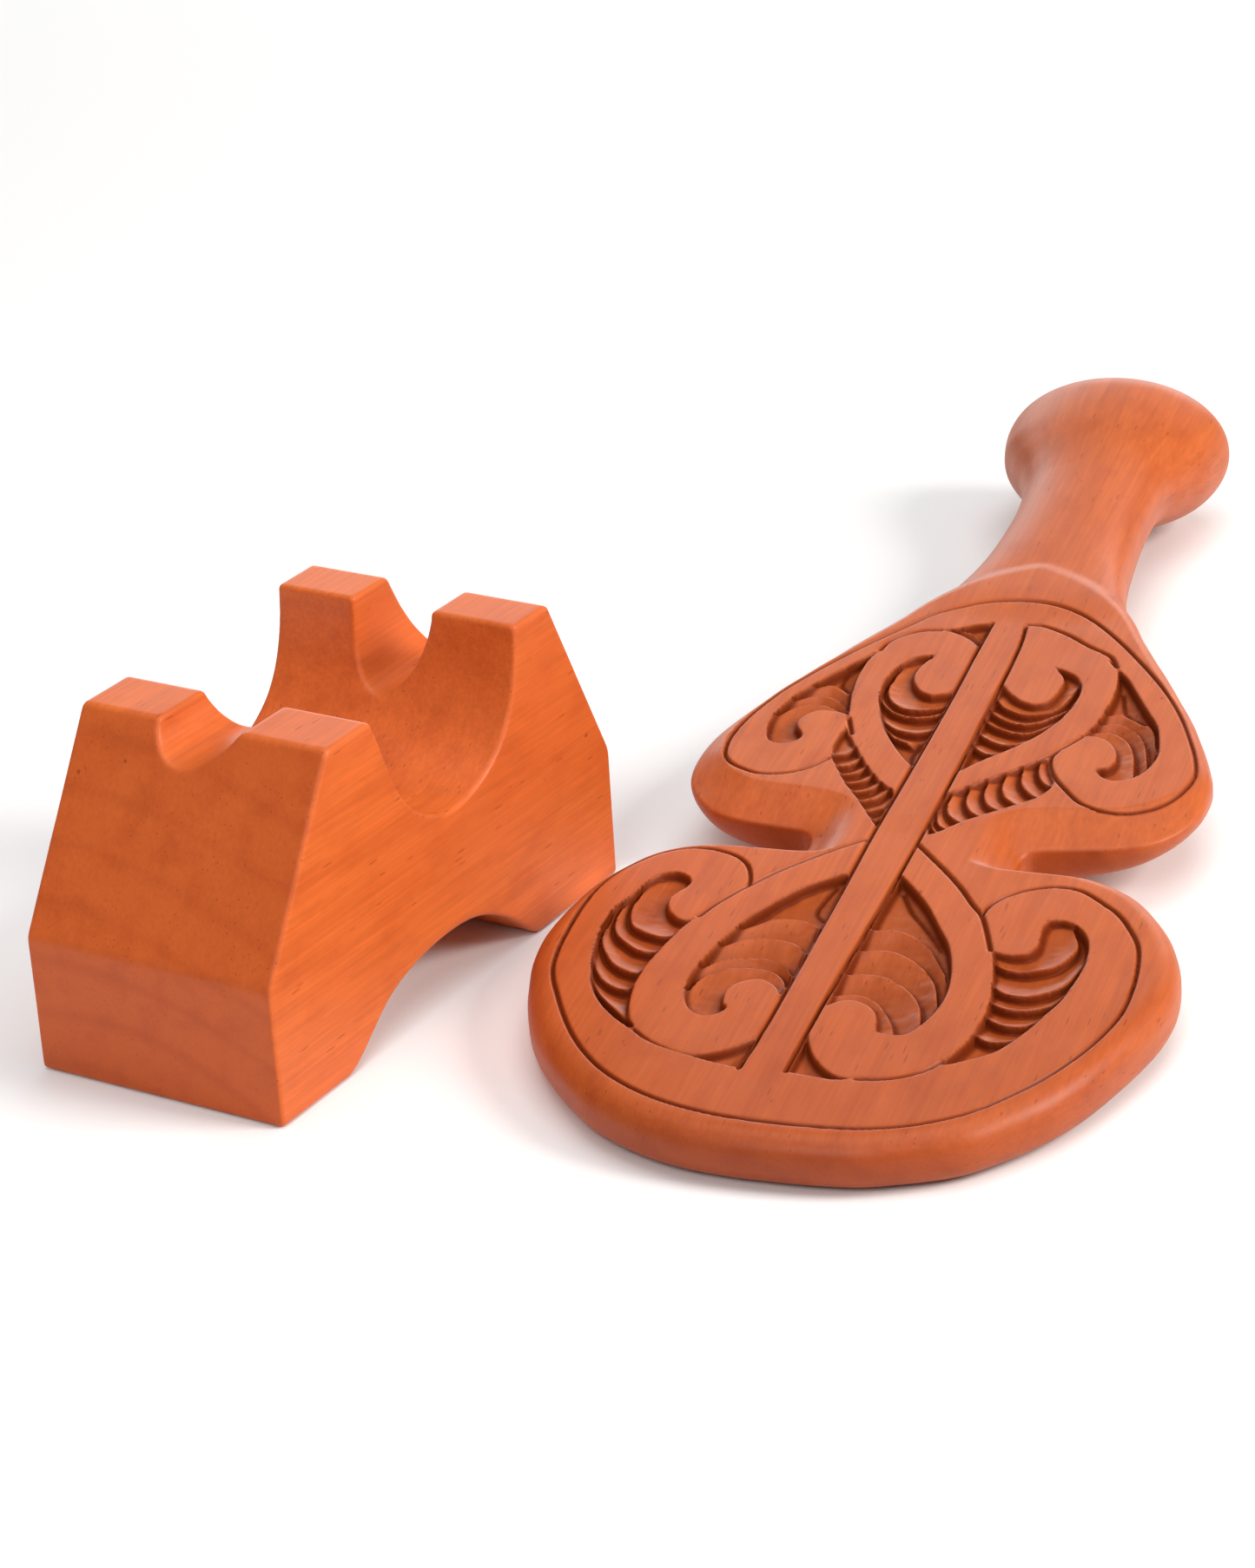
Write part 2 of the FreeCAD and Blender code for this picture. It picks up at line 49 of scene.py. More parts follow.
# ------------------------------------------------------------- club's figures
# local frame: x right, s from the blade's far end to the knob, z out of the face
CENTRE = [(-5, 4.0), (60, 4.0), (148, 2.2), (180, 1.5), (210, 0.5), (230, -0.2), (262, -1.4),
          (290, -2.3), (305, -3.2), (320, -4.8), (335, -5.6), (347, -5.8), (365, -5.7)]
BLADE_END = -3.4
# half-widths of the blade either side of the centre line
RIGHT_SIDE = [(-3.0, 10), (-1.7, 20), (1.0, 28), (5, 36), (10, 42.3), (20, 50.5), (30, 56.2),
              (40, 60.1), (50, 63.3), (60, 65.6), (70, 66), (80, 64.2), (90, 60.2), (100, 53.4),
              (105, 46.8), (108, 39), (109.3, 33),
              (109.8, 26.5), (111.5, 23.6), (115.5, 22.8), (119.5, 23.6), (121.5, 26.5),
              (123.1, 33), (124.6, 40), (126.8, 46), (130.2, 50.3), (134.6, 53.6), (140, 55.9),
              (146, 57.1), (155, 56.8), (162, 55.1), (170, 52.5), (180, 48.6), (190, 44.2),
              (200, 39.6), (210, 34.7), (220, 29.8), (228, 26), (235, 21), (242, 14), (248, 5)]
LEFT_SIDE = [(-3.2, 6), (-2.2, 15), (0.5, 24), (5, 32.6), (10, 39.2), (20, 48.4), (30, 55.2),
             (40, 60), (50, 63.4), (60, 65.6), (70, 65.8), (80, 64.2), (90, 61.2), (100, 55.5),
             (105, 49.2), (108, 41), (109.3, 33.5),
             (109.8, 26.5), (111.5, 23.6), (115.5, 22.8), (119.5, 23.6), (121.5, 26.5),
             (122.4, 33), (123.5, 40), (125.5, 46), (129, 50.3), (133.5, 53.6), (139, 55.8),
             (146, 56.6), (155, 55.6), (162, 53.8), (170, 51.3), (180, 47.6), (190, 43.2),
             (200, 38.6), (210, 33.8), (220, 29), (228, 25.4), (235, 20.5), (242, 14), (248, 5)]
# the back: its depth on the centre line, and how much it rises at 60 mm out to each side
UNDERSIDE = [(-6, 11.04), (0, 11.4), (40, 13.8), (70, 14.7), (100, 15.5), (150, 17), (230, 19), (280, 20)]
CROWN = [(-6, 0.0), (0, 0.2), (40, 1.2), (70, 1.8), (100, 4.5), (112, 6.5), (125, 9.0), (140, 8.4),
         (155, 7.2), (180, 6.5), (210, 6.0), (250, 5.0), (280, 4.0)]
GRIP_HALF_WIDTH = [(200, 35), (212, 30.4), (222, 26.9), (232, 24.3), (240, 21.9), (250, 19.5), (260, 17.9),
                   (270, 17.1), (290, 16.4), (305, 17.0), (315, 18.8), (325, 22.9), (335, 26.8),
                   (347, 28.6), (370, 28.6)]
GRIP_TOP = [(200, -2.0), (212, -1.5), (222, -0.8), (232, -0.2), (255, 0.5), (275, 1.0), (290, 1.5), (305, 2.1),
            (318, 3.1), (330, 4.4), (342, 5.2), (347, 5.3), (370, 5.3)]
GRIP_BOTTOM = [(200, -15.6), (212, -16.5), (222, -17.6), (232, -18.9), (255, -19.6), (275, -20), (290, -20.4),
               (305, -21.4), (318, -23.6), (330, -27.8), (342, -31.5), (347, -32), (370, -32)]
GRIP_POWER = [(200, 4.0), (212, 4.0), (232, 3.6), (255, 2.8), (275, 2.3), (300, 2.1), (370, 2.0)]
# the face falls away to the edge round the notches and the upper lobe's lower side:
# (s, how far in from the edge the fall begins), (s, how much it falls)
FALL_WIDTH = [(104, 2), (110, 11), (118, 11), (122, 12.5), (132, 12.5), (140, 9), (148, 5.5), (160, 4), (240, 3)]
FALL_DEPTH = [(106, 0), (110.5, 4.2), (118, 4.2), (122, 3.7), (134, 3.6), (144, 2.6), (155, 1.5), (175, 0.9),
              (225, 0.6), (240, 0)]
TOP_ROUND = [(60, 5.3), (95, 5.0), (106, 3.4), (109.5, 0.8), (135, 0.8), (150, 2.2), (170, 3.2), (240, 3.6)]
BOTTOM_ROUND = [(90, 5.4), (112, 4.0), (130, 3.6), (160, 4.2), (240, 5.0)]

# carved face: sunk fields, incised lines, crescent crests inside the fields
POCKETS = {
    "L1": [
        (-39.8, 92.8), (-41.9, 93.0), (-44.3, 91.7), (-46.1, 88.4), (-47.1, 84.3), (-48.5, 79.8), (-49.7, 75.5),
        (-49.9, 70.7), (-49.4, 64.9), (-48.4, 59.1), (-46.9, 53.2), (-44.9, 47.3), (-42.3, 42.2), (-39.3, 38.1),
        (-35.8, 34.5), (-31.3, 31.0), (-30.3, 31.6), (-32.7, 36.1), (-34.5, 42.0), (-35.5, 48.2), (-35.4, 55.8),
        (-34.4, 63.4), (-33.0, 70.5), (-31.2, 76.1), (-32.4, 74.5), (-34.2, 74.1), (-36.2, 75.5), (-38.1, 78.0),
        (-39.1, 81.6), (-38.5, 84.4), (-37.3, 86.8), (-36.9, 89.3), (-37.8, 91.3),
    ],
    "L2": [
        (-6.0, 99.2), (-8.4, 97.1), (-12.9, 92.5), (-16.7, 86.3), (-20.4, 78.9), (-22.6, 71.8), (-24.4, 64.3),
        (-25.5, 56.7), (-25.6, 51.0), (-24.9, 46.1), (-23.2, 42.1), (-20.9, 39.4), (-18.4, 38.4), (-16.0, 39.4),
        (-14.6, 41.6), (-14.8, 42.9), (-15.7, 43.8), (-16.3, 46.2), (-16.5, 48.9), (-15.4, 51.4), (-13.5, 53.1),
        (-11.2, 53.9), (-8.5, 52.6), (-6.4, 49.9), (-5.2, 46.5), (-5.1, 60.3), (-5.1, 79.7), (-5.2, 97.2),
    ],
    "L3": [
        (-31.3, 31.0), (-27.6, 27.9), (-23.1, 25.5), (-17.1, 23.6), (-11.1, 22.0), (-5.7, 21.0), (-5.4, 25.9),
        (-5.3, 33.5), (-6.3, 32.1), (-8.1, 29.5), (-10.4, 27.0), (-13.4, 25.1), (-16.3, 24.1), (-20.8, 25.3),
        (-25.3, 27.5), (-28.8, 30.3), (-30.3, 31.6),
    ],
    "R2": [
        (5.6, 100.0), (9.9, 94.7), (14.4, 88.4), (19.0, 80.2), (22.1, 74.6), (24.5, 67.9), (26.1, 61.0),
        (26.7, 55.1), (26.3, 48.4), (24.7, 42.8), (22.8, 39.2), (19.7, 38.5), (16.7, 38.9), (16.0, 41.2),
        (15.2, 44.4), (13.7, 47.0), (11.4, 48.8), (8.7, 49.5), (6.3, 48.4), (4.3, 45.9), (4.0, 59.4), (4.4, 78.7),
        (4.8, 98.1),
    ],
    "R3": [
        (3.9, 40.2), (4.3, 36.0), (5.4, 32.4), (7.4, 28.4), (10.2, 24.8), (13.7, 22.0), (17.5, 21.6), (13.7, 20.4),
        (8.4, 20.8), (3.8, 21.5), (3.7, 30.7),
    ],
    "R1": [
        (39.2, 87.3), (42.0, 88.2), (45.1, 86.9), (47.8, 84.1), (49.6, 80.0), (50.7, 74.0), (50.6, 68.2),
        (50.1, 62.4), (49.2, 56.7), (47.6, 51.4), (45.8, 45.8), (43.6, 40.3), (41.0, 35.7), (37.2, 32.5),
        (34.1, 30.3), (31.8, 29.4), (33.8, 35.1), (35.2, 40.7), (35.7, 48.4), (35.3, 55.2), (34.2, 61.1),
        (32.7, 68.1), (30.9, 73.7), (33.5, 72.9), (35.8, 72.8), (38.3, 74.1), (39.5, 77.1), (39.2, 80.7),
        (38.9, 84.0),
    ],
    "U1": [
        (-27.4, 200.9), (-28.5, 195.3), (-28.6, 188.3), (-28.1, 182.3), (-26.9, 175.2), (-25.1, 167.0),
        (-26.4, 168.5), (-29.4, 169.4), (-32.4, 169.3), (-34.5, 167.5), (-35.7, 164.2), (-35.2, 161.4),
        (-33.8, 159.3), (-32.9, 157.2), (-33.4, 154.9), (-35.3, 153.1), (-37.9, 152.7), (-40.2, 154.3),
        (-41.8, 158.6), (-42.4, 163.6), (-41.9, 169.0), (-40.4, 175.4), (-37.8, 181.5), (-33.6, 189.8),
        (-30.3, 196.1),
    ],
    "U2": [
        (-14.7, 200.6), (-16.5, 200.1), (-18.8, 198.5), (-20.5, 195.2), (-21.8, 191.3), (-22.3, 185.8),
        (-21.8, 179.7), (-20.2, 173.6), (-17.9, 167.4), (-15.5, 162.2), (-12.5, 156.9), (-8.6, 151.0),
        (-5.5, 147.2), (-5.2, 158.3), (-5.1, 170.2), (-5.2, 184.6), (-7.2, 182.4), (-9.9, 181.0), (-12.6, 182.5),
        (-14.7, 185.5), (-16.0, 189.2), (-16.0, 193.2), (-15.2, 197.0), (-14.3, 198.9),
    ],
    "U5": [
        (-16.3, 213.2), (-12.7, 214.7), (-9.6, 217.1), (-5.6, 218.8), (-5.4, 211.5), (-5.4, 204.4), (-7.7, 208.0),
        (-11.6, 211.4),
    ],
    "U3": [
        (13.7, 199.1), (17.2, 197.4), (20.4, 194.7), (22.1, 190.7), (22.7, 185.8), (22.2, 178.8), (20.6, 171.9),
        (17.8, 165.1), (13.7, 158.5), (9.1, 152.4), (5.2, 146.2), (4.7, 157.3), (4.4, 167.3), (4.2, 177.4),
        (4.1, 190.3), (5.3, 187.7), (7.6, 184.5), (10.6, 181.6), (13.7, 180.6), (16.0, 182.0), (17.2, 185.9),
        (17.6, 190.3), (16.9, 194.0), (15.2, 196.8),
    ],
    "U4": [
        (27.7, 201.1), (31.6, 195.9), (35.4, 188.7), (39.3, 181.3), (42.7, 174.9), (44.7, 167.7), (45.8, 161.6),
        (45.4, 156.6), (44.3, 152.7), (42.3, 149.7), (39.2, 148.2), (36.4, 149.0), (34.4, 151.4), (34.2, 153.2),
        (35.9, 153.9), (37.0, 156.4), (36.7, 160.0), (35.4, 163.3), (33.0, 166.2), (30.2, 167.4), (27.6, 167.1),
        (29.2, 173.7), (29.8, 181.1), (29.8, 189.2), (28.9, 195.8),
    ],
    "SL": [
        (-24.6, 163.0), (-22.4, 159.0), (-18.5, 152.1), (-14.7, 145.8), (-10.1, 139.5), (-5.6, 134.7),
        (-5.5, 126.6), (-5.4, 119.1), (-8.5, 123.5), (-13.1, 130.7), (-17.7, 137.2), (-21.1, 143.1),
        (-23.6, 147.6), (-24.8, 152.1), (-25.1, 158.1),
    ],
    "SR": [
        (23.4, 155.6), (24.6, 151.1), (26.8, 145.7), (26.3, 141.4), (24.5, 137.6), (20.6, 133.6), (16.0, 129.1),
        (11.7, 124.6), (8.3, 119.8), (5.9, 117.6), (5.0, 121.7), (4.8, 127.6), (4.9, 135.5), (8.6, 140.1),
        (13.2, 145.6), (17.8, 151.0), (20.9, 154.7),
    ],
}
LINES = {
    "B_low": [
        (-24.7, 90.4), (-25.6, 94.1), (-27.6, 98.6), (-30.8, 101.7), (-34.8, 103.4), (-39.0, 104.0),
        (-43.2, 103.1), (-47.7, 100.0), (-51.4, 95.5), (-54.0, 90.8), (-55.6, 84.8), (-56.3, 77.1), (-56.2, 69.5),
        (-55.6, 59.8), (-54.3, 51.7), (-52.3, 46.1), (-49.7, 40.9), (-46.1, 34.1), (-41.6, 26.8), (-36.4, 20.2),
        (-30.5, 14.6), (-23.0, 9.8), (-14.0, 6.2), (-3.5, 4.1), (6.9, 3.7), (15.9, 4.0), (24.1, 5.1), (33.3, 8.4),
        (42.0, 14.5), (48.5, 22.4), (53.1, 29.6), (57.3, 38.4), (60.1, 46.8), (61.8, 55.4), (61.8, 65.1),
        (60.8, 74.0), (59.2, 81.0), (56.1, 87.2), (52.8, 92.2), (48.2, 96.6), (43.9, 100.0), (40.5, 101.1),
        (36.7, 100.9), (32.5, 98.9), (29.4, 96.3), (27.6, 93.9), (26.2, 90.9), (25.6, 87.1),
    ],
    "B_up": [
        (-24.2, 147.7), (-26.9, 143.4), (-30.2, 140.4), (-33.7, 138.9), (-37.5, 138.5), (-41.3, 139.8),
        (-44.8, 142.1), (-47.1, 145.3), (-48.2, 149.9), (-48.5, 154.7), (-47.9, 161.2), (-46.3, 169.0),
        (-43.6, 177.7), (-39.4, 187.3), (-34.2, 197.8), (-28.6, 207.4), (-23.5, 215.7), (-19.7, 221.4),
        (-14.3, 225.8), (-8.9, 228.8), (-2.7, 230.4), (2.8, 230.5), (7.4, 229.5), (12.9, 226.8), (17.6, 223.0),
        (22.2, 217.9), (26.9, 212.0), (31.6, 205.5), (36.3, 198.6), (40.9, 191.3), (44.8, 184.1), (48.3, 176.5),
        (51.4, 168.5), (53.7, 161.9), (55.2, 155.7), (55.4, 151.7), (54.5, 146.8), (52.8, 142.5), (50.0, 138.6),
        (45.6, 135.6), (41.4, 134.8), (37.6, 135.4), (33.7, 137.7), (29.9, 142.3), (26.8, 146.7), (24.6, 151.1),
        (23.6, 154.6), (23.4, 157.0), (24.3, 160.5),
    ],
    "C_L": [
        (-24.7, 90.4), (-20.5, 97.1), (-16.0, 102.9), (-11.5, 108.3), (-5.4, 114.4),
    ],
    "C_Lr": [
        (-24.7, 90.4), (-26.8, 86.7), (-29.2, 81.7), (-31.2, 76.1),
    ],
    "C_R": [
        (5.3, 113.4), (9.9, 108.0), (14.4, 102.7), (19.0, 96.7), (22.8, 90.9), (25.6, 87.1), (27.9, 81.8),
        (30.9, 73.7),
    ],
    "C_UR": [
        (27.7, 201.1), (25.7, 204.2),
    ],
    "I_UR": [
        (2.8, 219.1), (6.7, 219.0), (12.9, 215.6), (19.1, 210.6), (23.0, 208.0), (25.7, 205.4), (27.7, 201.1),
    ],
    "C_UL": [
        (-25.1, 167.0), (-22.4, 159.8),
    ],
    "C_UR2": [
        (27.6, 167.1), (25.9, 163.4), (24.3, 160.5), (22.9, 157.7), (20.9, 154.7),
    ],
    "H_UL": [
        (-27.4, 200.9), (-26.7, 205.2), (-24.3, 209.1), (-20.4, 212.2), (-16.3, 213.2),
    ],
    "K_LR": [
        (17.5, 21.6), (22.0, 22.4), (26.2, 24.2), (29.9, 27.3), (32.3, 31.1),
    ],
    "rib_L": [
        (-5.6, 218.6), (-5.4, 198.3), (-5.2, 178.2), (-5.2, 158.3), (-5.3, 138.4), (-5.4, 111.9), (-5.1, 79.7),
        (-5.0, 46.5), (-5.1, 33.5), (-5.6, 21.0),
    ],
    "rib_R": [
        (2.5, 217.9), (3.4, 209.7), (3.9, 197.5), (4.2, 177.4), (4.6, 157.4), (4.8, 137.5), (4.8, 110.9),
        (4.7, 98.2), (4.3, 78.7), (3.8, 59.4), (3.6, 40.2), (3.6, 21.5),
    ],
}
RIDGES = {
    "L1": [
        [(-45.9, 84.7), (-46.2, 78.0), (-44.1, 71.7), (-39.9, 68.7), (-35.4, 68.1), (-32.1, 70.4)],
        [(-47.8, 80.1), (-48.0, 73.4), (-46.3, 67.9), (-42.1, 63.6), (-38.3, 61.5), (-34.3, 62.4)],
        [(-48.9, 73.5), (-48.5, 65.8), (-46.5, 60.8), (-42.7, 55.6), (-38.2, 53.0), (-34.9, 53.3)],
        [(-48.5, 61.0), (-46.4, 54.5), (-43.0, 49.3), (-38.9, 46.6), (-35.5, 46.7)],
        [(-45.7, 50.2), (-42.3, 44.5), (-38.1, 39.9), (-33.6, 35.6)],
    ],
    "L2": [
        [(-18.6, 76.2), (-15.9, 78.8), (-12.1, 79.6), (-8.3, 79.0), (-5.3, 76.8)],
        [(-21.5, 67.8), (-18.8, 70.4), (-15.1, 71.2), (-11.3, 70.8), (-8.0, 69.5), (-5.3, 66.1)],
        [(-24.0, 58.1), (-21.5, 61.5), (-17.3, 63.0), (-12.8, 63.1), (-8.6, 61.5), (-5.2, 56.5)],
        [(-24.4, 48.9), (-23.0, 54.5), (-19.5, 58.0), (-15.0, 59.1), (-10.5, 58.6), (-7.2, 55.8), (-5.2, 51.1)],
        [(-7.6, 95.9), (-8.8, 85.5), (-5.5, 81.3)],
    ],
    "R2": [
        [(5.0, 78.3), (9.9, 79.1), (14.4, 77.1), (18.2, 73.4), (22.0, 67.2)],
        [(4.7, 69.6), (9.9, 71.0), (14.4, 69.4), (19.0, 65.6), (22.8, 60.0), (25.1, 53.4)],
        [(4.4, 60.3), (9.9, 61.3), (14.4, 59.9), (19.0, 55.9), (22.3, 50.8), (24.4, 43.4)],
        [(4.5, 51.7), (8.7, 53.1), (12.9, 51.4), (16.3, 47.4), (19.0, 42.5), (20.2, 38.9)],
        [(6.8, 96.0), (10.6, 88.8), (16.0, 81.8), (20.5, 75.1)],
    ],
    "R1": [
        [(31.8, 70.5), (35.8, 68.1), (40.4, 68.5), (44.2, 70.8), (46.5, 74.8), (47.2, 79.9), (45.1, 85.3)],
        [(33.6, 62.2), (37.3, 59.3), (41.9, 59.0), (45.8, 61.3), (48.6, 65.5), (49.9, 71.2)],
        [(35.1, 55.4), (39.1, 53.5), (43.4, 53.8), (47.0, 56.1), (49.5, 60.9)],
        [(35.9, 49.9), (39.5, 47.6), (43.3, 47.6), (46.7, 50.2)],
        [(35.7, 42.6), (39.0, 40.9), (43.3, 42.2)],
    ],
    "U1": [
        [(-37.5, 181.1), (-34.0, 183.2), (-30.5, 181.9), (-27.9, 179.2)],
        [(-39.3, 174.9), (-35.5, 177.9), (-31.7, 177.0), (-28.3, 174.3), (-26.3, 170.1)],
        [(-40.5, 168.4), (-38.5, 172.2), (-34.7, 173.5), (-30.4, 172.5), (-26.7, 168.8)],
        [(-31.5, 195.0), (-32.4, 186.6), (-28.4, 181.9)],
    ],
    "U2": [
        [(-20.4, 190.6), (-20.7, 184.6), (-19.2, 179.5), (-15.6, 175.5), (-11.0, 175.1), (-5.3, 177.6)],
        [(-21.9, 181.1), (-19.8, 176.5), (-16.1, 172.6), (-11.7, 171.2), (-7.9, 172.5), (-5.3, 174.6)],
        [(-20.3, 173.2), (-17.4, 168.3), (-13.6, 165.0), (-9.0, 164.2), (-5.3, 165.8)],
        [(-17.6, 166.9), (-13.2, 161.4), (-8.6, 159.0), (-5.4, 160.3)],
        [(-7.1, 161.4), (-7.5, 154.5), (-5.5, 149.3)],
    ],
    "U3": [
        [(4.2, 183.4), (7.5, 179.1), (12.1, 176.9), (16.3, 177.9), (19.6, 182.4), (20.7, 189.0)],
        [(4.2, 177.4), (8.0, 174.0), (12.6, 172.2), (16.8, 174.3), (20.0, 178.6)],
        [(4.4, 172.4), (8.3, 169.4), (12.9, 167.8), (17.2, 169.8), (20.6, 174.9)],
        [(4.6, 166.3), (8.0, 163.4), (12.0, 162.1), (15.7, 163.9), (18.8, 168.1)],
        [(4.9, 160.3), (8.3, 157.4), (12.3, 157.8)],
    ],
    "U4": [
        [(30.3, 179.1), (34.3, 180.7), (38.5, 178.3), (42.1, 173.0), (43.9, 166.8)],
        [(29.6, 174.1), (33.8, 175.7), (38.2, 172.7), (41.4, 167.0), (43.3, 160.2)],
        [(28.7, 170.2), (33.0, 171.2), (37.2, 168.0), (39.9, 162.5), (41.4, 156.0)],
        [(31.1, 192.1), (33.9, 183.2), (39.6, 178.2)],
    ],
    "SL": [
        [(-23.6, 150.0), (-21.1, 151.8), (-19.6, 155.6)],
        [(-22.0, 144.9), (-19.0, 146.4), (-17.2, 150.4)],
        [(-20.0, 141.4), (-16.7, 143.0), (-15.0, 146.8)],
        [(-17.7, 138.0), (-14.2, 139.7), (-12.5, 143.5)],
        [(-15.1, 134.2), (-11.6, 136.2), (-10.1, 140.1)],
        [(-12.5, 130.2), (-9.1, 132.9), (-7.6, 137.1)],
        [(-9.7, 126.0), (-6.7, 129.1), (-5.5, 132.9)],
        [(-7.7, 122.5), (-5.4, 124.6), (-5.3, 127.6)],
    ],
    "SR": [
        [(21.4, 154.8), (22.2, 149.8), (24.0, 146.0), (26.5, 143.8)],
        [(18.6, 151.3), (19.4, 145.6), (21.2, 141.9), (24.3, 138.6)],
        [(15.7, 147.6), (16.1, 142.0), (17.8, 137.8), (21.2, 134.7)],
        [(12.6, 143.9), (13.1, 138.3), (14.8, 134.2), (18.1, 131.5)],
        [(9.5, 140.6), (10.0, 135.0), (11.7, 130.9), (14.8, 128.2)],
        [(6.5, 136.9), (6.9, 130.9), (8.6, 127.2), (11.7, 125.0)],
        [(4.9, 131.9), (5.6, 127.5), (6.8, 123.8), (9.2, 121.2)],
        [(4.8, 125.6), (5.9, 122.0), (7.4, 119.5)],
    ],
    "U5": [
        [(-11.6, 214.2), (-8.8, 213.2), (-5.7, 209.5)],
        [(-14.2, 213.5), (-10.1, 211.5), (-5.7, 206.9)],
    ],
}

# the scroll head that each field's crescents ring, and the order of its crests
# from the head outwards; the lone crests at a field's tip are separate cuts
HEADS = {
    "L1": ((-33.0, 81.0), [0, 1, 2, 3, 4], []),
    "R1": ((34.0, 80.0), [0, 1, 2, 3, 4], []),
    "L2": ((-11.0, 46.0), [3, 2, 1, 0], [4]),
    "R2": ((11.0, 43.0), [3, 2, 1, 0], [4]),
    "U1": ((-30.0, 163.0), [2, 1, 0], [3]),
    "U4": ((31.0, 160.0), [2, 1, 0], [3]),
    "U2": ((-9.0, 190.0), [0, 1, 2, 3], [4]),
    "U3": ((11.0, 190.0), [0, 1, 2, 3, 4], []),
    "SL": ((-23.0, 168.0), [0, 1, 2, 3, 4, 5, 6, 7], []),
    "SR": ((23.0, 164.0), [0, 1, 2, 3, 4, 5, 6, 7], []),
    "U5": ((-9.0, 190.0), [1, 0], []),
}


def table(rows, s):
    """Monotone cubic through (s, value) rows, for an array of s."""
    x = np.array([r[0] for r in rows], float)
    y = np.array([r[1] for r in rows], float)
    h = np.diff(x)
    d = np.diff(y) / h
    m = np.zeros(len(x))
    m[0], m[-1] = d[0], d[-1]
    for i in range(1, len(x) - 1):
        m[i] = 0.0 if d[i - 1] * d[i] <= 0 else 2 * d[i - 1] * d[i] / (d[i - 1] + d[i])
    s = np.clip(np.asarray(s, float), x[0], x[-1])
    i = np.clip(np.searchsorted(x, s, side="right") - 1, 0, len(h) - 1)
    t = (s - x[i]) / h[i]
    return ((2 * t**3 - 3 * t**2 + 1) * y[i] + (t**3 - 2 * t**2 + t) * h[i] * m[i]
            + (3 * t**2 - 2 * t**3) * y[i + 1] + (t**3 - t**2) * h[i] * m[i + 1])


def smooth(points, closed=False, n=6, corner=52.0):
    """Catmull-Rom through the points, kept sharp at real corners."""
    p = np.array(points, float)
    m = len(p)

    def turn(i):
        a, b = p[i] - p[i - 1], p[(i + 1) % m] - p[i]
        c = np.dot(a, b) / (np.linalg.norm(a) * np.linalg.norm(b) + 1e-9)
        return math.degrees(math.acos(max(-1.0, min(1.0, c))))

    def run(q):
        if len(q) < 3:
            return [q[0] + (q[-1] - q[0]) * k / n for k in range(n)]
        e = np.vstack([2 * q[0] - q[1], q, 2 * q[-1] - q[-2]])
        out = []
        for i in range(1, len(e) - 2):
            p0, p1, p2, p3 = e[i - 1], e[i], e[i + 1], e[i + 2]
            for k in range(n):
                t = k / n
                out.append(0.5 * (2 * p1 + (p2 - p0) * t + (2 * p0 - 5 * p1 + 4 * p2 - p3) * t * t
                                  + (3 * p1 - p0 - 3 * p2 + p3) * t**3))
        return out

    if not closed:
        return np.array(run(p) + [p[-1]])
    corners = [i for i in range(m) if turn(i) > corner]
    if not corners:
        q = np.vstack([p[-1], p, p[0], p[1]])
        out = []
        for i in range(1, m + 1):
            p0, p1, p2, p3 = q[i - 1], q[i], q[i + 1], q[i + 2] if i + 2 < len(q) else q[2]
            for k in range(n):
                t = k / n
                out.append(0.5 * (2 * p1 + (p2 - p0) * t + (2 * p0 - 5 * p1 + 4 * p2 - p3) * t * t
                                  + (3 * p1 - p0 - 3 * p2 + p3) * t**3))
        return np.array(out)
    out = []
    for a, b in zip(corners, corners[1:] + [corners[0] + m]):
        out += run(np.array([p[i % m] for i in range(a, b + 1)]))
    return np.array(out)


def distance(px, py, line, closed=False):
    """Distance to a polyline, and which side of its nearest stretch (+ left)."""
    px, py = np.asarray(px, np.float32).ravel(), np.asarray(py, np.float32).ravel()
    a = line.astype(np.float32)
    b = np.roll(a, -1, axis=0) if closed else a[1:]
    if not closed:
        a = a[:-1]
    best = np.full(px.shape, 1e9, np.float32)
    side = np.zeros(px.shape, np.float32)
    for (ax, ay), (bx, by) in zip(a, b):
        dx, dy = bx - ax, by - ay
        l2 = dx * dx + dy * dy
        if l2 < 1e-9:
            continue
        t = np.clip(((px - ax) * dx + (py - ay) * dy) / l2, 0, 1)
        ex, ey = px - ax - t * dx, py - ay - t * dy
        d2 = ex * ex + ey * ey
        near = d2 < best
        best = np.where(near, d2, best)
        side = np.where(near, dx * (py - ay) - dy * (px - ax), side)
    return np.sqrt(best), np.sign(side)


def inside(px, py, loop):
    px, py = np.asarray(px).ravel(), np.asarray(py).ravel()
    odd = np.zeros(px.shape, bool)
    x0, y0 = loop[-1]
    for x1, y1 in loop:
        if y0 != y1:
            cross = ((y0 > py) != (y1 > py)) & (px < (x1 - x0) * (py - y0) / (y1 - y0) + x0)
            odd ^= cross
        x0, y0 = x1, y1
    return odd


def step(t):
    t = np.clip(t, 0, 1)
    return t * t * (3 - 2 * t)


def noise(px, py, size, seed):
    """Smooth value noise in -1..1 with features about size across."""
    rng = np.random.RandomState(seed)
    g = rng.uniform(-1, 1, (97, 97))
    u, v = np.asarray(px) / size + 500.0, np.asarray(py) / size + 500.0
    i, j = np.floor(u).astype(int), np.floor(v).astype(int)
    fu, fv = step(u - i), step(v - j)
    a, b = g[i % 97, j % 97], g[(i + 1) % 97, j % 97]
    c, d = g[i % 97, (j + 1) % 97], g[(i + 1) % 97, (j + 1) % 97]
    return (a * (1 - fu) + b * fu) * (1 - fv) + (c * (1 - fu) + d * fu) * fv


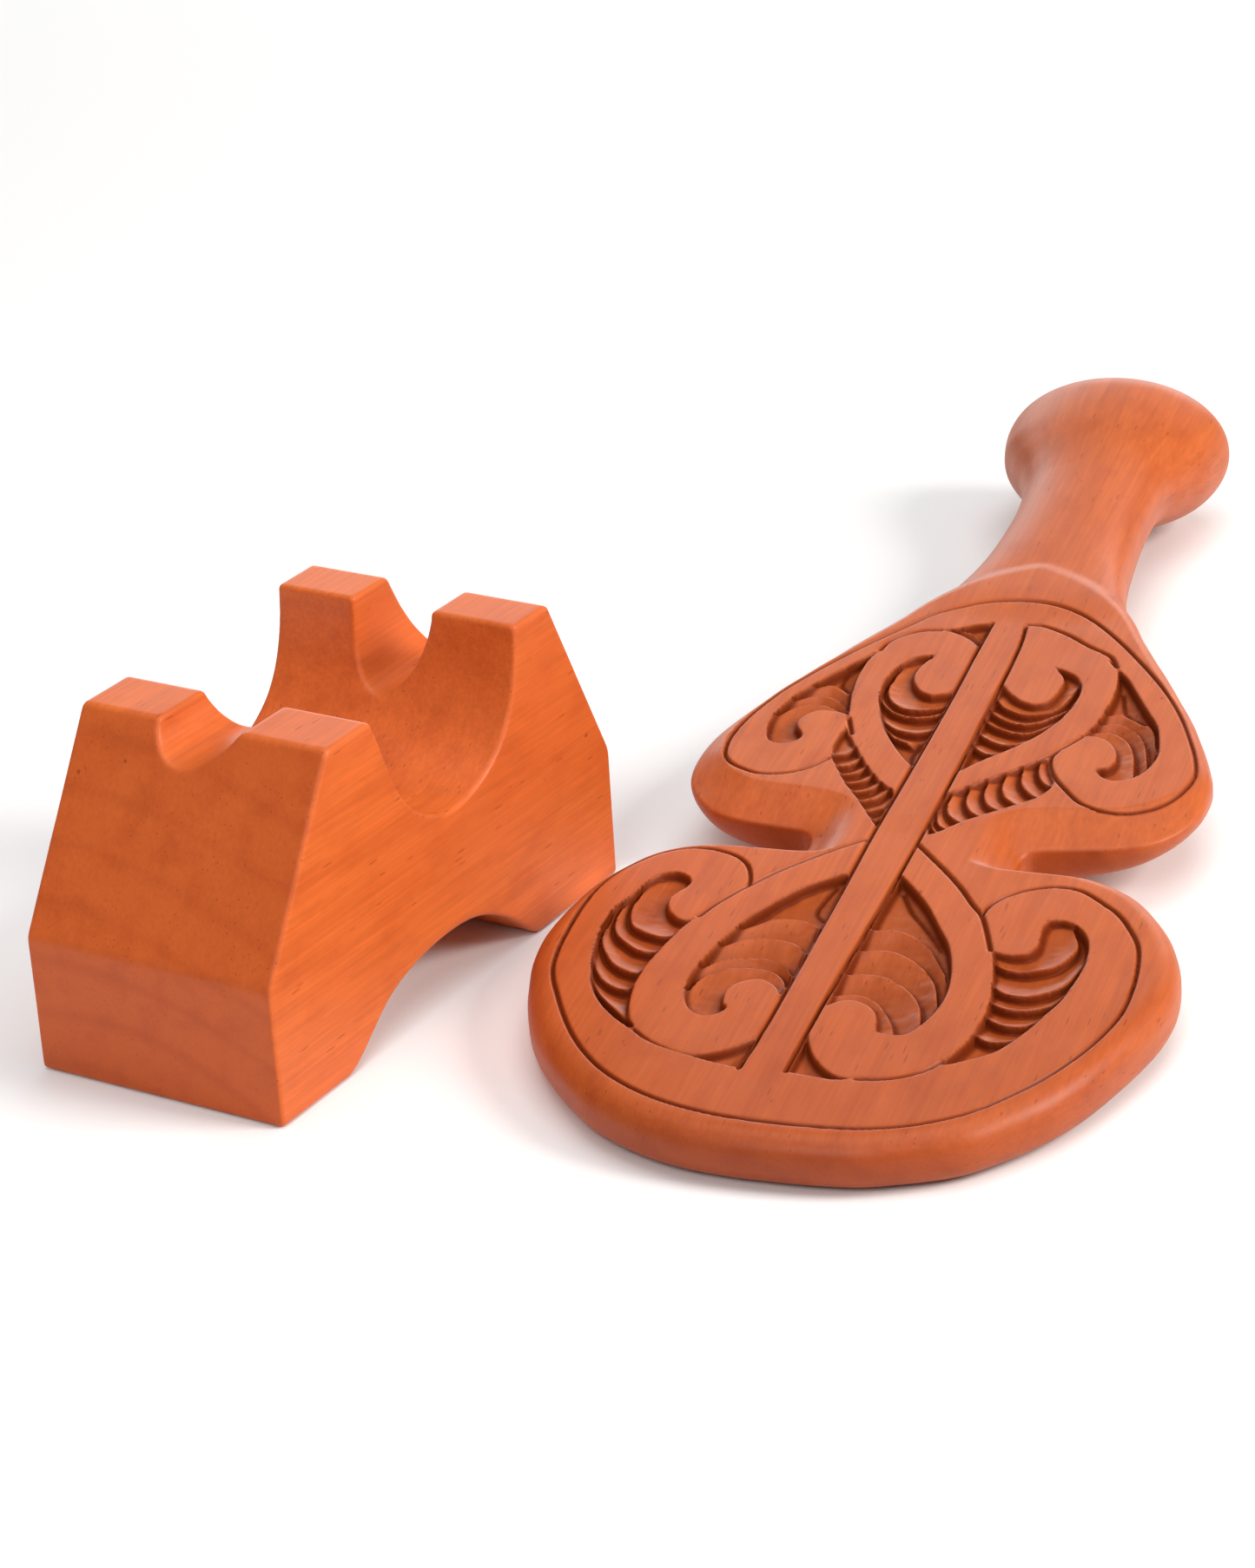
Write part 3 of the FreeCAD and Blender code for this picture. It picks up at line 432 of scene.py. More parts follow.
def sample(grid, xs, ys, px, py):
    """Bilinear look-up in a grid of any spacing."""
    i = np.clip(np.searchsorted(xs, px) - 1, 0, len(xs) - 2)
    j = np.clip(np.searchsorted(ys, py) - 1, 0, len(ys) - 2)
    u = np.clip((px - xs[i]) / (xs[i + 1] - xs[i]), 0, 1)
    v = np.clip((py - ys[j]) / (ys[j + 1] - ys[j]), 0, 1)
    return ((grid[i, j] * (1 - u) + grid[i + 1, j] * u) * (1 - v)
            + (grid[i, j + 1] * (1 - u) + grid[i + 1, j + 1] * u) * v)


def smin(a, b, k):
    h = np.clip(k - np.abs(a - b), 0, None) / k
    return np.minimum(a, b) - h * h * k * 0.25


def smax(a, b, k):
    return -smin(-a, -b, k)


def surface(f, xs, ys, zs):
    """Surface-net mesh of f = 0 (f < 0 is solid) on a grid of any spacing."""
    nx, ny, nz = f.shape
    neg = f < 0
    cells = (nx - 1) * (ny - 1) * (nz - 1)
    total = [np.zeros(cells, np.float32) for _ in range(3)]
    count = np.zeros(cells, np.float32)
    quads = []
    axes = (xs, ys, zs)
    for ax in range(3):
        lo = [slice(None)] * 3
        hi = [slice(None)] * 3
        lo[ax], hi[ax] = slice(0, -1), slice(1, None)
        cross = neg[tuple(lo)] != neg[tuple(hi)]
        idx = np.array(np.nonzero(cross))
        i0 = idx.copy()
        i1 = idx.copy()
        i1[ax] += 1
        f0, f1 = f[tuple(i0)], f[tuple(i1)]
        t = f0 / (f0 - f1)
        pos = [axes[k][idx[k]].astype(np.float32) for k in range(3)]
        pos[ax] = (axes[ax][i0[ax]] + t * (axes[ax][i1[ax]] - axes[ax][i0[ax]])).astype(np.float32)
        u, v = [(1, 2), (2, 0), (0, 1)][ax]
        ring = []
        ok = ((idx[u] > 0) & (idx[v] > 0)
              & (idx[u] < f.shape[u] - 1) & (idx[v] < f.shape[v] - 1))
        idx, pos, solid_first = idx[:, ok], [q[ok] for q in pos], (f0 < 0)[ok]
        for du, dv in ((-1, -1), (0, -1), (0, 0), (-1, 0)):
            c = [idx[0].copy(), idx[1].copy(), idx[2].copy()]
            c[u] += du
            c[v] += dv
            flat = (c[0] * (ny - 1) + c[1]) * (nz - 1) + c[2]
            ring.append(flat)
            count += np.bincount(flat, minlength=cells).astype(np.float32)
            for k in range(3):
                total[k] += np.bincount(flat, weights=pos[k], minlength=cells).astype(np.float32)
        q = np.stack(ring, axis=1)
        q[~solid_first] = q[~solid_first][:, ::-1]
        quads.append(q)
    used = np.nonzero(count > 0)[0]
    number = np.zeros(cells, np.int32)
    number[used] = np.arange(len(used))
    verts = np.stack([total[k][used] / count[used] for k in range(3)], axis=1)
    return verts, number[np.vstack(quads)]


def build_mesh(name, verts, quads, attributes, along, inner=None):
    me = bpy.data.meshes.new(name)
    me.vertices.add(len(verts))
    me.vertices.foreach_set("co", np.ascontiguousarray(verts, np.float32).ravel())
    me.loops.add(quads.size)
    me.loops.foreach_set("vertex_index", np.ascontiguousarray(quads, np.int32).ravel())
    me.polygons.add(len(quads))
    me.polygons.foreach_set("loop_start", np.arange(0, quads.size, 4, dtype=np.int32))
    me.update(calc_edges=True)
    me.validate()
    me.polygons.foreach_set("use_smooth", np.ones(len(me.polygons), bool))
    nrm = np.empty(len(verts) * 3, np.float32)
    me.vertices.foreach_get("normal", nrm)
    nrm = nrm.reshape(-1, 3)
    lean = nrm @ np.asarray(along, np.float32)
    # painted light: the valley's inner walls keep only 0.15 of the end-grain darkening, so they come out lighter
    # than the outer end faces
    end_shade_weight = 1.0 if inner is None else np.where(inner * lean > 0, 0.15, 1.0)
    attributes = dict(attributes, end_grain_and_shade=lean**2 * end_shade_weight)
    for key, data in attributes.items():
        kind = "FLOAT_VECTOR" if data.ndim == 2 else "FLOAT"
        at = me.attributes.new(key, kind, "POINT")
        at.data.foreach_set("vector" if data.ndim == 2 else "value",
                            np.ascontiguousarray(data, np.float32).ravel())
    o = bpy.data.objects.new(name, me)
    bpy.context.scene.collection.objects.link(o)
    return o


# ----------------------------------------------------------------- club solid
def club_mesh():
    d = 0.34
    xs = np.arange(-65.0, 74.0, d)
    ys = np.concatenate([np.arange(-8.0, 237.0, d), np.arange(237.0, 369.0, d * 1.4)])
    ys = ys[np.concatenate([[True], np.diff(ys) > 0.05])]
    zf = 0.3
    zc = 0.6
    zs = np.concatenate([np.arange(-34.0, -4.0, zc), np.arange(-4.0, 0.9, zf), np.arange(0.9, 8.0, zc)])
    X, Y = np.meshgrid(xs, ys, indexing="ij")
    shape = X.shape
    c = table(CENTRE, ys)

    # outline, positive inside
    right = [(float(table(CENTRE, s)) + h, s) for s, h in RIGHT_SIDE]
    left = [(float(table(CENTRE, s)) - h, s) for s, h in LEFT_SIDE]
    loop = smooth([(4.0, BLADE_END)] + right + [(-0.9, 250.0)] + left[::-1], closed=True, n=5, corner=181)
    blade = ys < 256
    bx, by = X[:, blade], Y[:, blade]
    dist, _ = distance(bx, by, loop, closed=True)
    din = np.where(inside(bx, by, loop), dist, -dist).reshape(bx.shape)
    D = np.full(shape, -50.0, np.float32)
    D[:, blade] = din
    # the narrow end of the blade dies away inside the grip
    wobble = 0.22 * noise(X, Y, 17.0, 5) + 0.10 * noise(X, Y, 6.0, 9)
    D = D + np.where(D < 9, wobble, 0).astype(np.float32) * 0.8

    # carving: height of the cut surface below the face, big where uncut
    H = np.full(shape, 6.0, np.float32)
    # painted shade and real oil: this grid darkens the carving's recesses, the creases below its crests and its
    # incised lines
    oil_shade_grid = np.zeros(shape, np.float32)          # where oil and dirt gather
    chisel = 0.10 * noise(X, Y, 2.6, 21) + 0.07 * noise(X * 0.6, Y, 1.3, 22)
    for key, pts in POCKETS.items():
        pl = smooth(pts, closed=True, n=5)
        lo, hi = pl.min(0) - 2.0, pl.max(0) + 2.0
        i0, i1 = np.searchsorted(xs, [lo[0], hi[0]])
        j0, j1 = np.searchsorted(ys, [lo[1], hi[1]])
        px, py = X[i0:i1, j0:j1], Y[i0:i1, j0:j1]
        dd, _ = distance(px, py, pl, closed=True)
        inn = inside(px, py, pl)
        dp = np.where(inn, dd, -dd).reshape(px.shape)
        strip = key in ("SL", "SR", "U5")
        crest, low = (-0.40, -2.1) if strip else (-0.85, -2.7)
        if key in HEADS:
            head, order, lone = HEADS[key]
            sgn = []
            for r in order:
                line = np.array(RIDGES[key][r], float)
                ext0 = line[0] + (line[0] - line[1]) / np.linalg.norm(line[0] - line[1]) * 4.0
                ext1 = line[-1] + (line[-1] - line[-2]) / np.linalg.norm(line[-1] - line[-2]) * 4.0
                rl = smooth([ext0] + list(line) + [ext1], n=5)
                a, sd = distance(px, py, rl)
                _, hs = distance([head[0]], [head[1]], rl)
                sgn.append((a * -sd * hs[0]).reshape(px.shape))
            crease_shade = np.zeros(px.shape, np.float32)
            floor = crest - (1.35 if not strip else 1.1) * (1 - np.exp(-np.clip(-sgn[0], 0, None) / (3.2 if not strip else 1.6)))
            for k in range(len(sgn)):
                out = sgn[k] > 0
                a = np.clip(sgn[k], 0, None)
                if k + 1 < len(sgn):
                    b = np.clip(-sgn[k + 1], 0, None)
                    u = a / (a + b + 1e-3)
                    h = low + (crest - low) * u**1.5
                else:
                    h = low + 0.35 * np.clip(a / 7.0, 0, 1)
                w = step(a / 0.45)
                floor = np.where(out, crest * (1 - w) + h * w, floor)
                crease_shade = np.where(out, np.maximum(crease_shade, np.exp(-((a - 0.6) / 0.75)**2)), crease_shade)
            for r in lone:
                rl = smooth(RIDGES[key][r], n=5)
                a, _ = distance(px, py, rl)
                a = a.reshape(px.shape)
                floor = np.minimum(floor, -2.9 + 0.9 * a)
                crease_shade = np.maximum(crease_shade, np.exp(-(a / 0.6)**2))
        else:
            # plain sunk field: a trough, deepest along its middle
            floor = -1.5 - 0.22 * np.clip(dp, 0, 4.0)
            crease_shade = np.zeros(px.shape, np.float32)
        floor = floor + chisel[i0:i1, j0:j1]
        wall = step(np.clip(dp, 0, None) / 0.85)
        h = np.where(dp > 0, floor * wall, -dp * 2.2)
        H[i0:i1, j0:j1] = np.minimum(H[i0:i1, j0:j1], h)
        # painted shade over the oil that gathers here: darker with the field's depth, in a band along the bottom of
        # each wall and at the creases below the crests
        wall_foot_shade = np.exp(-((dp - 0.75) / 0.55)**2)
        k = np.where(dp > 0, np.clip(0.36 * np.clip(-floor / 2.4, 0, 1) + 0.85 * np.maximum(crease_shade, wall_foot_shade), 0, 1), 0)
        oil_shade_grid[i0:i1, j0:j1] = np.maximum(oil_shade_grid[i0:i1, j0:j1], k)
    for key, pts in LINES.items():
        pl = smooth(pts, n=6)
        lo, hi = pl.min(0) - 2.5, pl.max(0) + 2.5
        i0, i1 = np.searchsorted(xs, [lo[0], hi[0]])
        j0, j1 = np.searchsorted(ys, [lo[1], hi[1]])
        px, py = X[i0:i1, j0:j1], Y[i0:i1, j0:j1]
        a, _ = distance(px, py, pl)
        a = a.reshape(px.shape)
        wide = 0.62 if key.startswith("B_") else 0.70
        deep = 1.15 if key.startswith("B_") else 1.3
        if key.startswith("rib"):
            wide, deep = 0.62, 1.5
        h = deep * (a / wide - 1.0)
        H[i0:i1, j0:j1] = np.minimum(H[i0:i1, j0:j1], h)
        # painted shade and oil along each incised line, darkest at its middle
        oil_shade_grid[i0:i1, j0:j1] = np.maximum(oil_shade_grid[i0:i1, j0:j1], 1.0 - step((a - 0.15) / 0.55))
    off = np.abs(X - c[None, :])
    fall = table(FALL_DEPTH, ys)[None, :] * np.clip(1.0 - D / table(FALL_WIDTH, ys)[None, :], 0, 1)
    face = 0.05 * noise(X, Y, 9.0, 31) - 0.05 - fall * step((off - 12.0) / 9.0)
    thin = table(CROWN, ys)[None, :] * (off / 60.0)**2
    thin = thin + table([(112, 0), (122, 1.9), (142, 1.9), (165, 0)], ys)[None, :] * np.clip(1 - D / 12.0, 0, 1)

    t_under = table(UNDERSIDE, ys)
    ga, gt, gb, gp = (table(q, ys) for q in (GRIP_HALF_WIDTH, GRIP_TOP, GRIP_BOTTOM, GRIP_POWER))
    F = np.empty((len(xs), len(ys), len(zs)), np.float32)
    z = zs[None, None, :].astype(np.float32)
    for j0 in range(0, len(ys), 64):
        j1 = min(j0 + 64, len(ys))
        y = ys[None, j0:j1, None]
        low = (t_under[None, j0:j1] - thin[:, j0:j1])[:, :, None]
        top = face[:, j0:j1, None]
        rt = table(TOP_ROUND, ys[j0:j1])[None, :, None]
        rb = table(BOTTOM_ROUND, ys[j0:j1])[None, :, None]
        edge = -D[:, j0:j1, None]
        q1, q2 = rt + edge, z - top + rt
        fa = np.sqrt(np.clip(q1, 0, None)**2 + np.clip(q2, 0, None)**2) + np.minimum(np.maximum(q1, q2), 0) - rt
        q1, q2 = rb + edge, -z - low + rb
        fb = np.sqrt(np.clip(q1, 0, None)**2 + np.clip(q2, 0, None)**2) + np.minimum(np.maximum(q1, q2), 0) - rb
        f = np.maximum(fa, fb)
        if ys[j1 - 1] > 205:
            a = ga[j0:j1][None, :, None]
            top, bot = gt[j0:j1][None, :, None], gb[j0:j1][None, :, None]
            p = gp[j0:j1][None, :, None]
            mid, b = (top + bot) / 2, (top - bot) / 2
            u = np.abs((xs[:, None, None] - c[None, j0:j1, None]) / a)
            v = np.abs((z - mid) / b)
            rad = (u**p + v**p) ** (1 / p)
            over = np.clip((y - 347.0) / 18.45, 0, None)
            rad = np.where(over > 0, (rad**2.25 + over**2.25) ** (1 / 2.25), rad)
            g = (rad - 1) * np.minimum(a, b)
            g = np.maximum(g, 206.0 - y)
            f = smin(f, g, 0.05 + 2.95 * step((y - 208.0) / 30.0))
        f = np.maximum(f, z - H[:, j0:j1, None])
        F[:, j0:j1, :] = f
    verts, quads = surface(F, xs, ys, zs)
    # how deep in the carving each point is, for the oil and dust that gather there and for the painted shade of its
    # recesses, creases and lines
    oil_and_shade = sample(oil_shade_grid, xs, ys, verts[:, 0], verts[:, 1])
    oil_and_shade = np.where(verts[:, 2] < -4.2, 0.0, oil_and_shade)
    world = (CLUB_AT + verts[:, :1] * CLUB_X + verts[:, 1:2] * CLUB_Y + verts[:, 2:3] * CLUB_Z - ORIGIN) * 0.001
    world[:, 2] = np.maximum(world[:, 2], 0.0)
    return build_mesh("club_carved", world, quads, {"grain": verts * 0.001, "oil_and_shade": oil_and_shade}, CLUB_Y)


# ---------------------------------------------------------------- stand solid
def stand_mesh():
    W, L, Ht = 60.0, 126.4, 70.5
    band, near_lean, far_lean = 29.5, 25.7, 20.0
    arch = [(24.3, 0.0), (28.2, 2.2), (32.4, 5.3), (37.3, 8.9), (42.0, 11.3), (48.1, 13.1),
            (54.0, 14.1), (61.2, 14.6), (67.5, 14.3), (73.1, 13.2), (78.2, 11.2), (83.2, 8.3),
            (87.8, 4.9), (93.6, 0.0)]
    valley = [(93.4, Ht), (92.7, 63.5), (91.2, 57.5), (88.9, 52.4), (85.2, 47.6), (79.6, 43.7),
              (73.1, 41.4), (67.0, 40.7), (61.3, 41.7), (55.6, 44.5), (51.0, 48.6), (47.7, 53.6),
              (44.9, 60.2), (42.8, 65.8), (40.7, Ht)]
    near = [(40.3, Ht), (40.0, 68.0), (38.5, 65.2), (35.6, 63.2), (32.3, 62.8),
            (28.8, 63.7), (25.4, 65.8), (22.7, 68.2), (20.8, Ht)]
    far = [(40.3, Ht), (40.2, 66.0), (39.8, 61.5), (38.6, 57.0), (36.2, 53.3),
           (33.0, 51.6), (30.0, 52.3), (27.0, 54.9), (24.4, 58.8),
           (22.4, 63.5), (21.2, 67.6), (20.8, Ht)]
    d = 0.42
    vs = np.arange(-2.0, 62.01, d)             # across, from the right side
    us = np.arange(-2.0, 128.5, d)             # along
    zs = np.arange(-2.0, 72.6, d)
    U, Z = np.meshgrid(us, zs, indexing="ij")
    V, Z2 = np.meshgrid(vs, zs, indexing="ij")

    def plane(a, b):
        """Signed distance to the line a-b, positive on its left."""
        (ax, az), (bx, bz) = a, b
        l = math.hypot(bx - ax, bz - az)
        return ((bx - ax) * (Z - az) - (bz - az) * (U - ax)) / l

    slope_n = plane((0, band), (near_lean, Ht))
    slope_f = plane((L - far_lean, Ht), (L, band))
    side = smax(smax(-U, slope_n, 0.7), smax(U - L, slope_f, 0.7), 0.7)
    side = smax(side, Z - Ht, 1.0)
    side = smax(side, -Z, 0.9)

    def hollow(px, pz, pts, closing):
        line = smooth(pts, n=6)
        dist, _ = distance(px, pz, line)
        inn = inside(px, pz, np.vstack([line, closing]))
        return np.where(inn, dist, -dist).reshape(px.shape)

    val = hollow(U, Z, valley, [(40.7, 90.0), (93.4, 90.0)])
    arc = hollow(U, Z, arch, [(93.6, -20.0), (24.3, -20.0)])
    profile = smax(smax(side, val, 0.9), arc, 0.9)
    gn = hollow(V, Z2, near, [(20.8, 90.0), (40.3, 90.0)])
    gf = hollow(V, Z2, far, [(20.8, 90.0), (40.3, 90.0)])

    # hand-planed faces are never quite flat
    face = 0.10 * noise(U, Z, 19.0, 41) + 0.05 * noise(U, Z, 7.0, 42)
    F = np.empty((len(vs), len(us), len(zs)), np.float32)
    for j, u in enumerate(us):
        wide = np.abs(V - 30.0 - 0.0) - 30.0 + face[j][None, :] * 0.5 + 0.1
        f = smax(np.broadcast_to(profile[j][None, :], V.shape), wide, 1.0)
        F[:, j, :] = smax(f, gn if u < 67 else gf, 0.9)
    verts, quads = surface(F, vs, us, zs)
    x, y, z = -verts[:, 0], verts[:, 1], np.maximum(verts[:, 2], 0.0)
    world = (np.stack([x, y, z], 1) - ORIGIN) * 0.001
    quads = quads[:, ::-1]
    return build_mesh("stand_block", world, quads, {"grain": np.stack([x, y, z], 1) * 0.001}, (0.0, 1.0, 0.0),
                      np.where(y < 67, 1.0, -1.0))


# ------------------------------------------------------------------- material
def wood(name, ring_centre, tint, use_oil_and_shade, figure):
    """Oiled reddish hardwood; grain runs along y of the 'grain' attribute."""
    mat = bpy.data.materials.new(name)
    mat.use_nodes = True
    nt = mat.node_tree
    nodes, links = nt.nodes, nt.links
    bsdf = nodes["Principled BSDF"]

    def new(kind, **props):
        n = nodes.new(kind)
        for k, v in props.items():
            setattr(n, k, v)
        return n

    def math_node(op, a, b=None, clamp=False):
        n = new("ShaderNodeMath", operation=op, use_clamp=clamp)
        for i, q in enumerate((a, b)):
            if q is None:
                continue
            if isinstance(q, (int, float)):
                n.inputs[i].default_value = q
            else:
                links.new(q, n.inputs[i])
        return n.outputs[0]

    def mix(fac, a, b, blend="MIX"):
        n = new("ShaderNodeMix", data_type="RGBA", blend_type=blend)
        for s, q in ((n.inputs[0], fac), (n.inputs[6], a), (n.inputs[7], b)):
            if isinstance(q, (int, float)):
                s.default_value = q
            elif isinstance(q, tuple):
                s.default_value = (*q, 1.0)
            else:
                links.new(q, s)
        return n.outputs[2]

    def ramp(fac, stops):
        n = new("ShaderNodeValToRGB")
        el = n.color_ramp.elements
        el[0].position, el[1].position = stops[0][0], stops[-1][0]
        el[0].color, el[1].color = (*stops[0][1], 1), (*stops[-1][1], 1)
        for p, col in stops[1:-1]:
            e = el.new(p)
            e.color = (*col, 1)
        links.new(fac, n.inputs[0])
        return n.outputs[0]

    def noise_node(vec, scale, detail=4.0, rough=0.55, distortion=0.0):
        n = new("ShaderNodeTexNoise")
        n.inputs["Scale"].default_value = scale
        n.inputs["Detail"].default_value = detail
        n.inputs["Roughness"].default_value = rough
        n.inputs["Distortion"].default_value = distortion
        links.new(vec, n.inputs["Vector"])
        return n.outputs["Fac"]

    def mapping(vec, scale, loc=(0, 0, 0)):
        n = new("ShaderNodeMapping")
        n.inputs["Scale"].default_value = scale
        n.inputs["Location"].default_value = loc
        links.new(vec, n.inputs["Vector"])
        return n.outputs[0]

    at = new("ShaderNodeAttribute", attribute_type="GEOMETRY", attribute_name="grain")
    g = at.outputs["Vector"]

    def scaled(k):
        return tuple(c * q for c, q in zip(tint, k))

    # slow warp so the rings wander
    warp = noise_node(mapping(g, (9, 2.2, 9)), 1.0, 2.0)
    # growth rings: distance from the tree's axis, which lies outside the block
    ring_vec = mapping(g, (1.0, 0.035, 1.0), ring_centre)
    sep = new("ShaderNodeSeparateXYZ")
    links.new(ring_vec, sep.inputs[0])
    r2 = math_node("ADD", math_node("MULTIPLY", sep.outputs[0], sep.outputs[0]),
                   math_node("MULTIPLY", sep.outputs[2], sep.outputs[2]))
    radius = math_node("SQRT", r2)
    wavy = math_node("ADD", radius, math_node("MULTIPLY", warp, 0.020))
    phase = math_node("MULTIPLY", wavy, 2 * math.pi / 0.0105)
    ring = math_node("ADD", math_node("MULTIPLY", math_node("SINE", phase), 0.5), 0.5)
    ring_sharp = math_node("POWER", ring, 7.0)

    end_at = new("ShaderNodeAttribute", attribute_type="GEOMETRY", attribute_name="end_grain_and_shade")
    end_grain_and_shade = end_at.outputs["Fac"]
    across = math_node("SUBTRACT", 1.0, end_grain_and_shade)

    fibre = noise_node(mapping(g, (1300, 40, 1300)), 1.0, 3.0, 0.6)
    fibre2 = noise_node(mapping(g, (330, 10, 330)), 1.0, 4.0, 0.6, 0.3)
    mottle = noise_node(mapping(g, (120, 60, 120), (2, 5, 1)), 1.0, 4.0, 0.6)
    blotch = noise_node(mapping(g, (34, 15, 34)), 1.0, 3.0, 0.55)
    broad = noise_node(mapping(g, (12, 7, 12)), 1.0, 2.0, 0.5)

    light = scaled((1.08, 1.16, 1.26))
    dark = scaled((0.86, 0.78, 0.70))
    streak = math_node("MULTIPLY", math_node("SUBTRACT", fibre2, 0.5), math_node("MULTIPLY", across, figure))
    streak = math_node("ADD", streak, 0.5)
    col = ramp(streak, [(0.28, dark), (0.50, tint), (0.74, light)])
    col = mix(math_node("MULTIPLY", ring_sharp, math_node("ADD", math_node("MULTIPLY", end_grain_and_shade, 0.18), 0.12)), col,
              scaled((0.70, 0.55, 0.46)))
    col = mix(math_node("MULTIPLY", math_node("SUBTRACT", blotch, 0.45, True), 1.5), col,
              scaled((1.12, 1.30, 1.42)))
    col = mix(math_node("MULTIPLY", math_node("SUBTRACT", broad, 0.48, True), 1.6), col,
              scaled((0.84, 0.72, 0.62)))
    col = mix(math_node("MULTIPLY", math_node("SUBTRACT", mottle, 0.47, True), 2.2), col,
              scaled((0.76, 0.62, 0.52)))
    # end grain drinks more oil and comes out darker and redder; on the stand the valley's inner walls get only 0.15
    # of this, a painted lightening that leaves the outer end faces darker
    col = mix(math_node("MULTIPLY", end_grain_and_shade, 0.80), col, mix(1.0, col, (0.80, 0.64, 0.50), "MULTIPLY"))
    fine = math_node("MULTIPLY", math_node("SUBTRACT", fibre, 0.5), math_node("ADD", math_node("MULTIPLY", across, 0.26), 0.24))
    fine = math_node("ADD", fine, 1.0)
    comb = new("ShaderNodeCombineColor")
    for s in range(3):
        links.new(fine, comb.inputs[s])
    col = mix(1.0, col, comb.outputs[0], "MULTIPLY")

    # pores: tiny dark dashes along the grain, dots on end grain
    vor = new("ShaderNodeTexVoronoi", feature="F1")
    vor.inputs["Scale"].default_value = 1.0
    links.new(mapping(g, (700, 80, 700)), vor.inputs["Vector"])
    pore = math_node("LESS_THAN", vor.outputs["Distance"], 0.13)
    gate = math_node("GREATER_THAN", noise_node(mapping(g, (120, 50, 120), (3, 1, 2)), 1.0, 1.0), 0.50)
    pore = math_node("MULTIPLY", pore, gate)
    col = mix(math_node("MULTIPLY", pore, 0.55), col, scaled((0.42, 0.27, 0.21)))

    # a very few small dark flecks
    vor2 = new("ShaderNodeTexVoronoi", feature="F1")
    vor2.inputs["Scale"].default_value = 1.0
    links.new(mapping(g, (95, 60, 95), (7, 3, 5)), vor2.inputs["Vector"])
    speck = math_node("LESS_THAN", vor2.outputs["Distance"], 0.042)
    gate2 = math_node("GREATER_THAN", noise_node(mapping(g, (40, 30, 40), (1, 4, 9)), 1.0, 1.0), 0.56)
    speck = math_node("MULTIPLY", speck, gate2)
    col = mix(math_node("MULTIPLY", speck, 0.55), col, scaled((0.25, 0.16, 0.14)))

    if use_oil_and_shade:
        # painted shade: the colour darkens towards the blade's far end
        along = new("ShaderNodeSeparateXYZ")
        links.new(g, along.inputs[0])
        near = math_node("SUBTRACT", 0.62, math_node("MULTIPLY", along.outputs[1], 6.0), True)
        col = mix(near, col, mix(1.0, col, (0.74, 0.62, 0.50), "MULTIPLY"))
        # painted shade and oil: the carving's recesses, creases and incised lines are darkened
        oil_shade_at = new("ShaderNodeAttribute", attribute_type="GEOMETRY", attribute_name="oil_and_shade")
        col = mix(math_node("MULTIPLY", oil_shade_at.outputs["Fac"], 0.90), col, scaled((0.22, 0.12, 0.10)))
    links.new(col, bsdf.inputs["Base Color"])

    rough = math_node("ADD", math_node("MULTIPLY", blotch, 0.16), 0.33)
    rough = math_node("ADD", rough, math_node("MULTIPLY", fibre, 0.06))
    links.new(rough, bsdf.inputs["Roughness"])
    bsdf.inputs["Specular IOR Level"].default_value = 0.36
    if use_oil_and_shade:
        shine = math_node("SUBTRACT", 0.36, math_node("MULTIPLY", oil_shade_at.outputs["Fac"], 0.30))
        links.new(shine, bsdf.inputs["Specular IOR Level"])
    bsdf.inputs["IOR"].default_value = 1.46

    bump = new("ShaderNodeBump")
    bump.inputs["Strength"].default_value = 0.22
    bump.inputs["Distance"].default_value = 0.0002
    hgt = math_node("ADD", math_node("MULTIPLY", fibre, 0.5), math_node("MULTIPLY", mottle, 0.8))
    hgt = math_node("SUBTRACT", hgt, math_node("MULTIPLY", pore, 0.4))
    links.new(hgt, bump.inputs["Height"])
    links.new(bump.outputs[0], bsdf.inputs["Normal"])
    return mat


TINT_STAND = (0.640, 0.125, 0.020)
TINT_CLUB = (0.485, 0.096, 0.017)

stand = stand_mesh()
stand.data.materials.append(wood("stand_wood", (0.050, 0.0, 0.085), TINT_STAND, False, 0.55))
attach(stand, "stand")
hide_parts("stand")

club = club_mesh()
club.data.materials.append(wood("club_wood", (0.030, 0.0, 0.060), TINT_CLUB, True, 0.85))
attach(club, "club")
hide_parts("club")

# ---------------------------------------------------------------------- stage
floor_me = bpy.data.meshes.new("floor")
floor_me.from_pydata([(-6, -6, 0), (6, -6, 0), (6, 6, 0), (-6, 6, 0)], [], [(0, 1, 2, 3)])
floor = bpy.data.objects.new("floor", floor_me)
bpy.context.scene.collection.objects.link(floor)
floor.location.z = -0.0003
fm = bpy.data.materials.new("floor")
fm.use_nodes = True
fb = fm.node_tree.nodes["Principled BSDF"]
fb.inputs["Base Color"].default_value = (0.90, 0.90, 0.90, 1)
fb.inputs["Roughness"].default_value = 0.9
fb.inputs["Specular IOR Level"].default_value = 0.1
floor_me.materials.append(fm)

world = bpy.data.worlds.new("world")
bpy.context.scene.world = world
world.use_nodes = True
wt = world.node_tree
bg = wt.nodes["Background"]
bg.inputs["Color"].default_value = (1, 1, 1, 1)
bg.inputs["Strength"].default_value = 0.26
sky = wt.nodes.new("ShaderNodeBackground")
sky.inputs["Color"].default_value = (1, 1, 1, 1)
sky.inputs["Strength"].default_value = 1.0
seen = wt.nodes.new("ShaderNodeLightPath")
pick = wt.nodes.new("ShaderNodeMixShader")
wt.links.new(seen.outputs["Is Camera Ray"], pick.inputs[0])
wt.links.new(bg.outputs[0], pick.inputs[1])
wt.links.new(sky.outputs[0], pick.inputs[2])
wt.links.new(pick.outputs[0], wt.nodes["World Output"].inputs["Surface"])


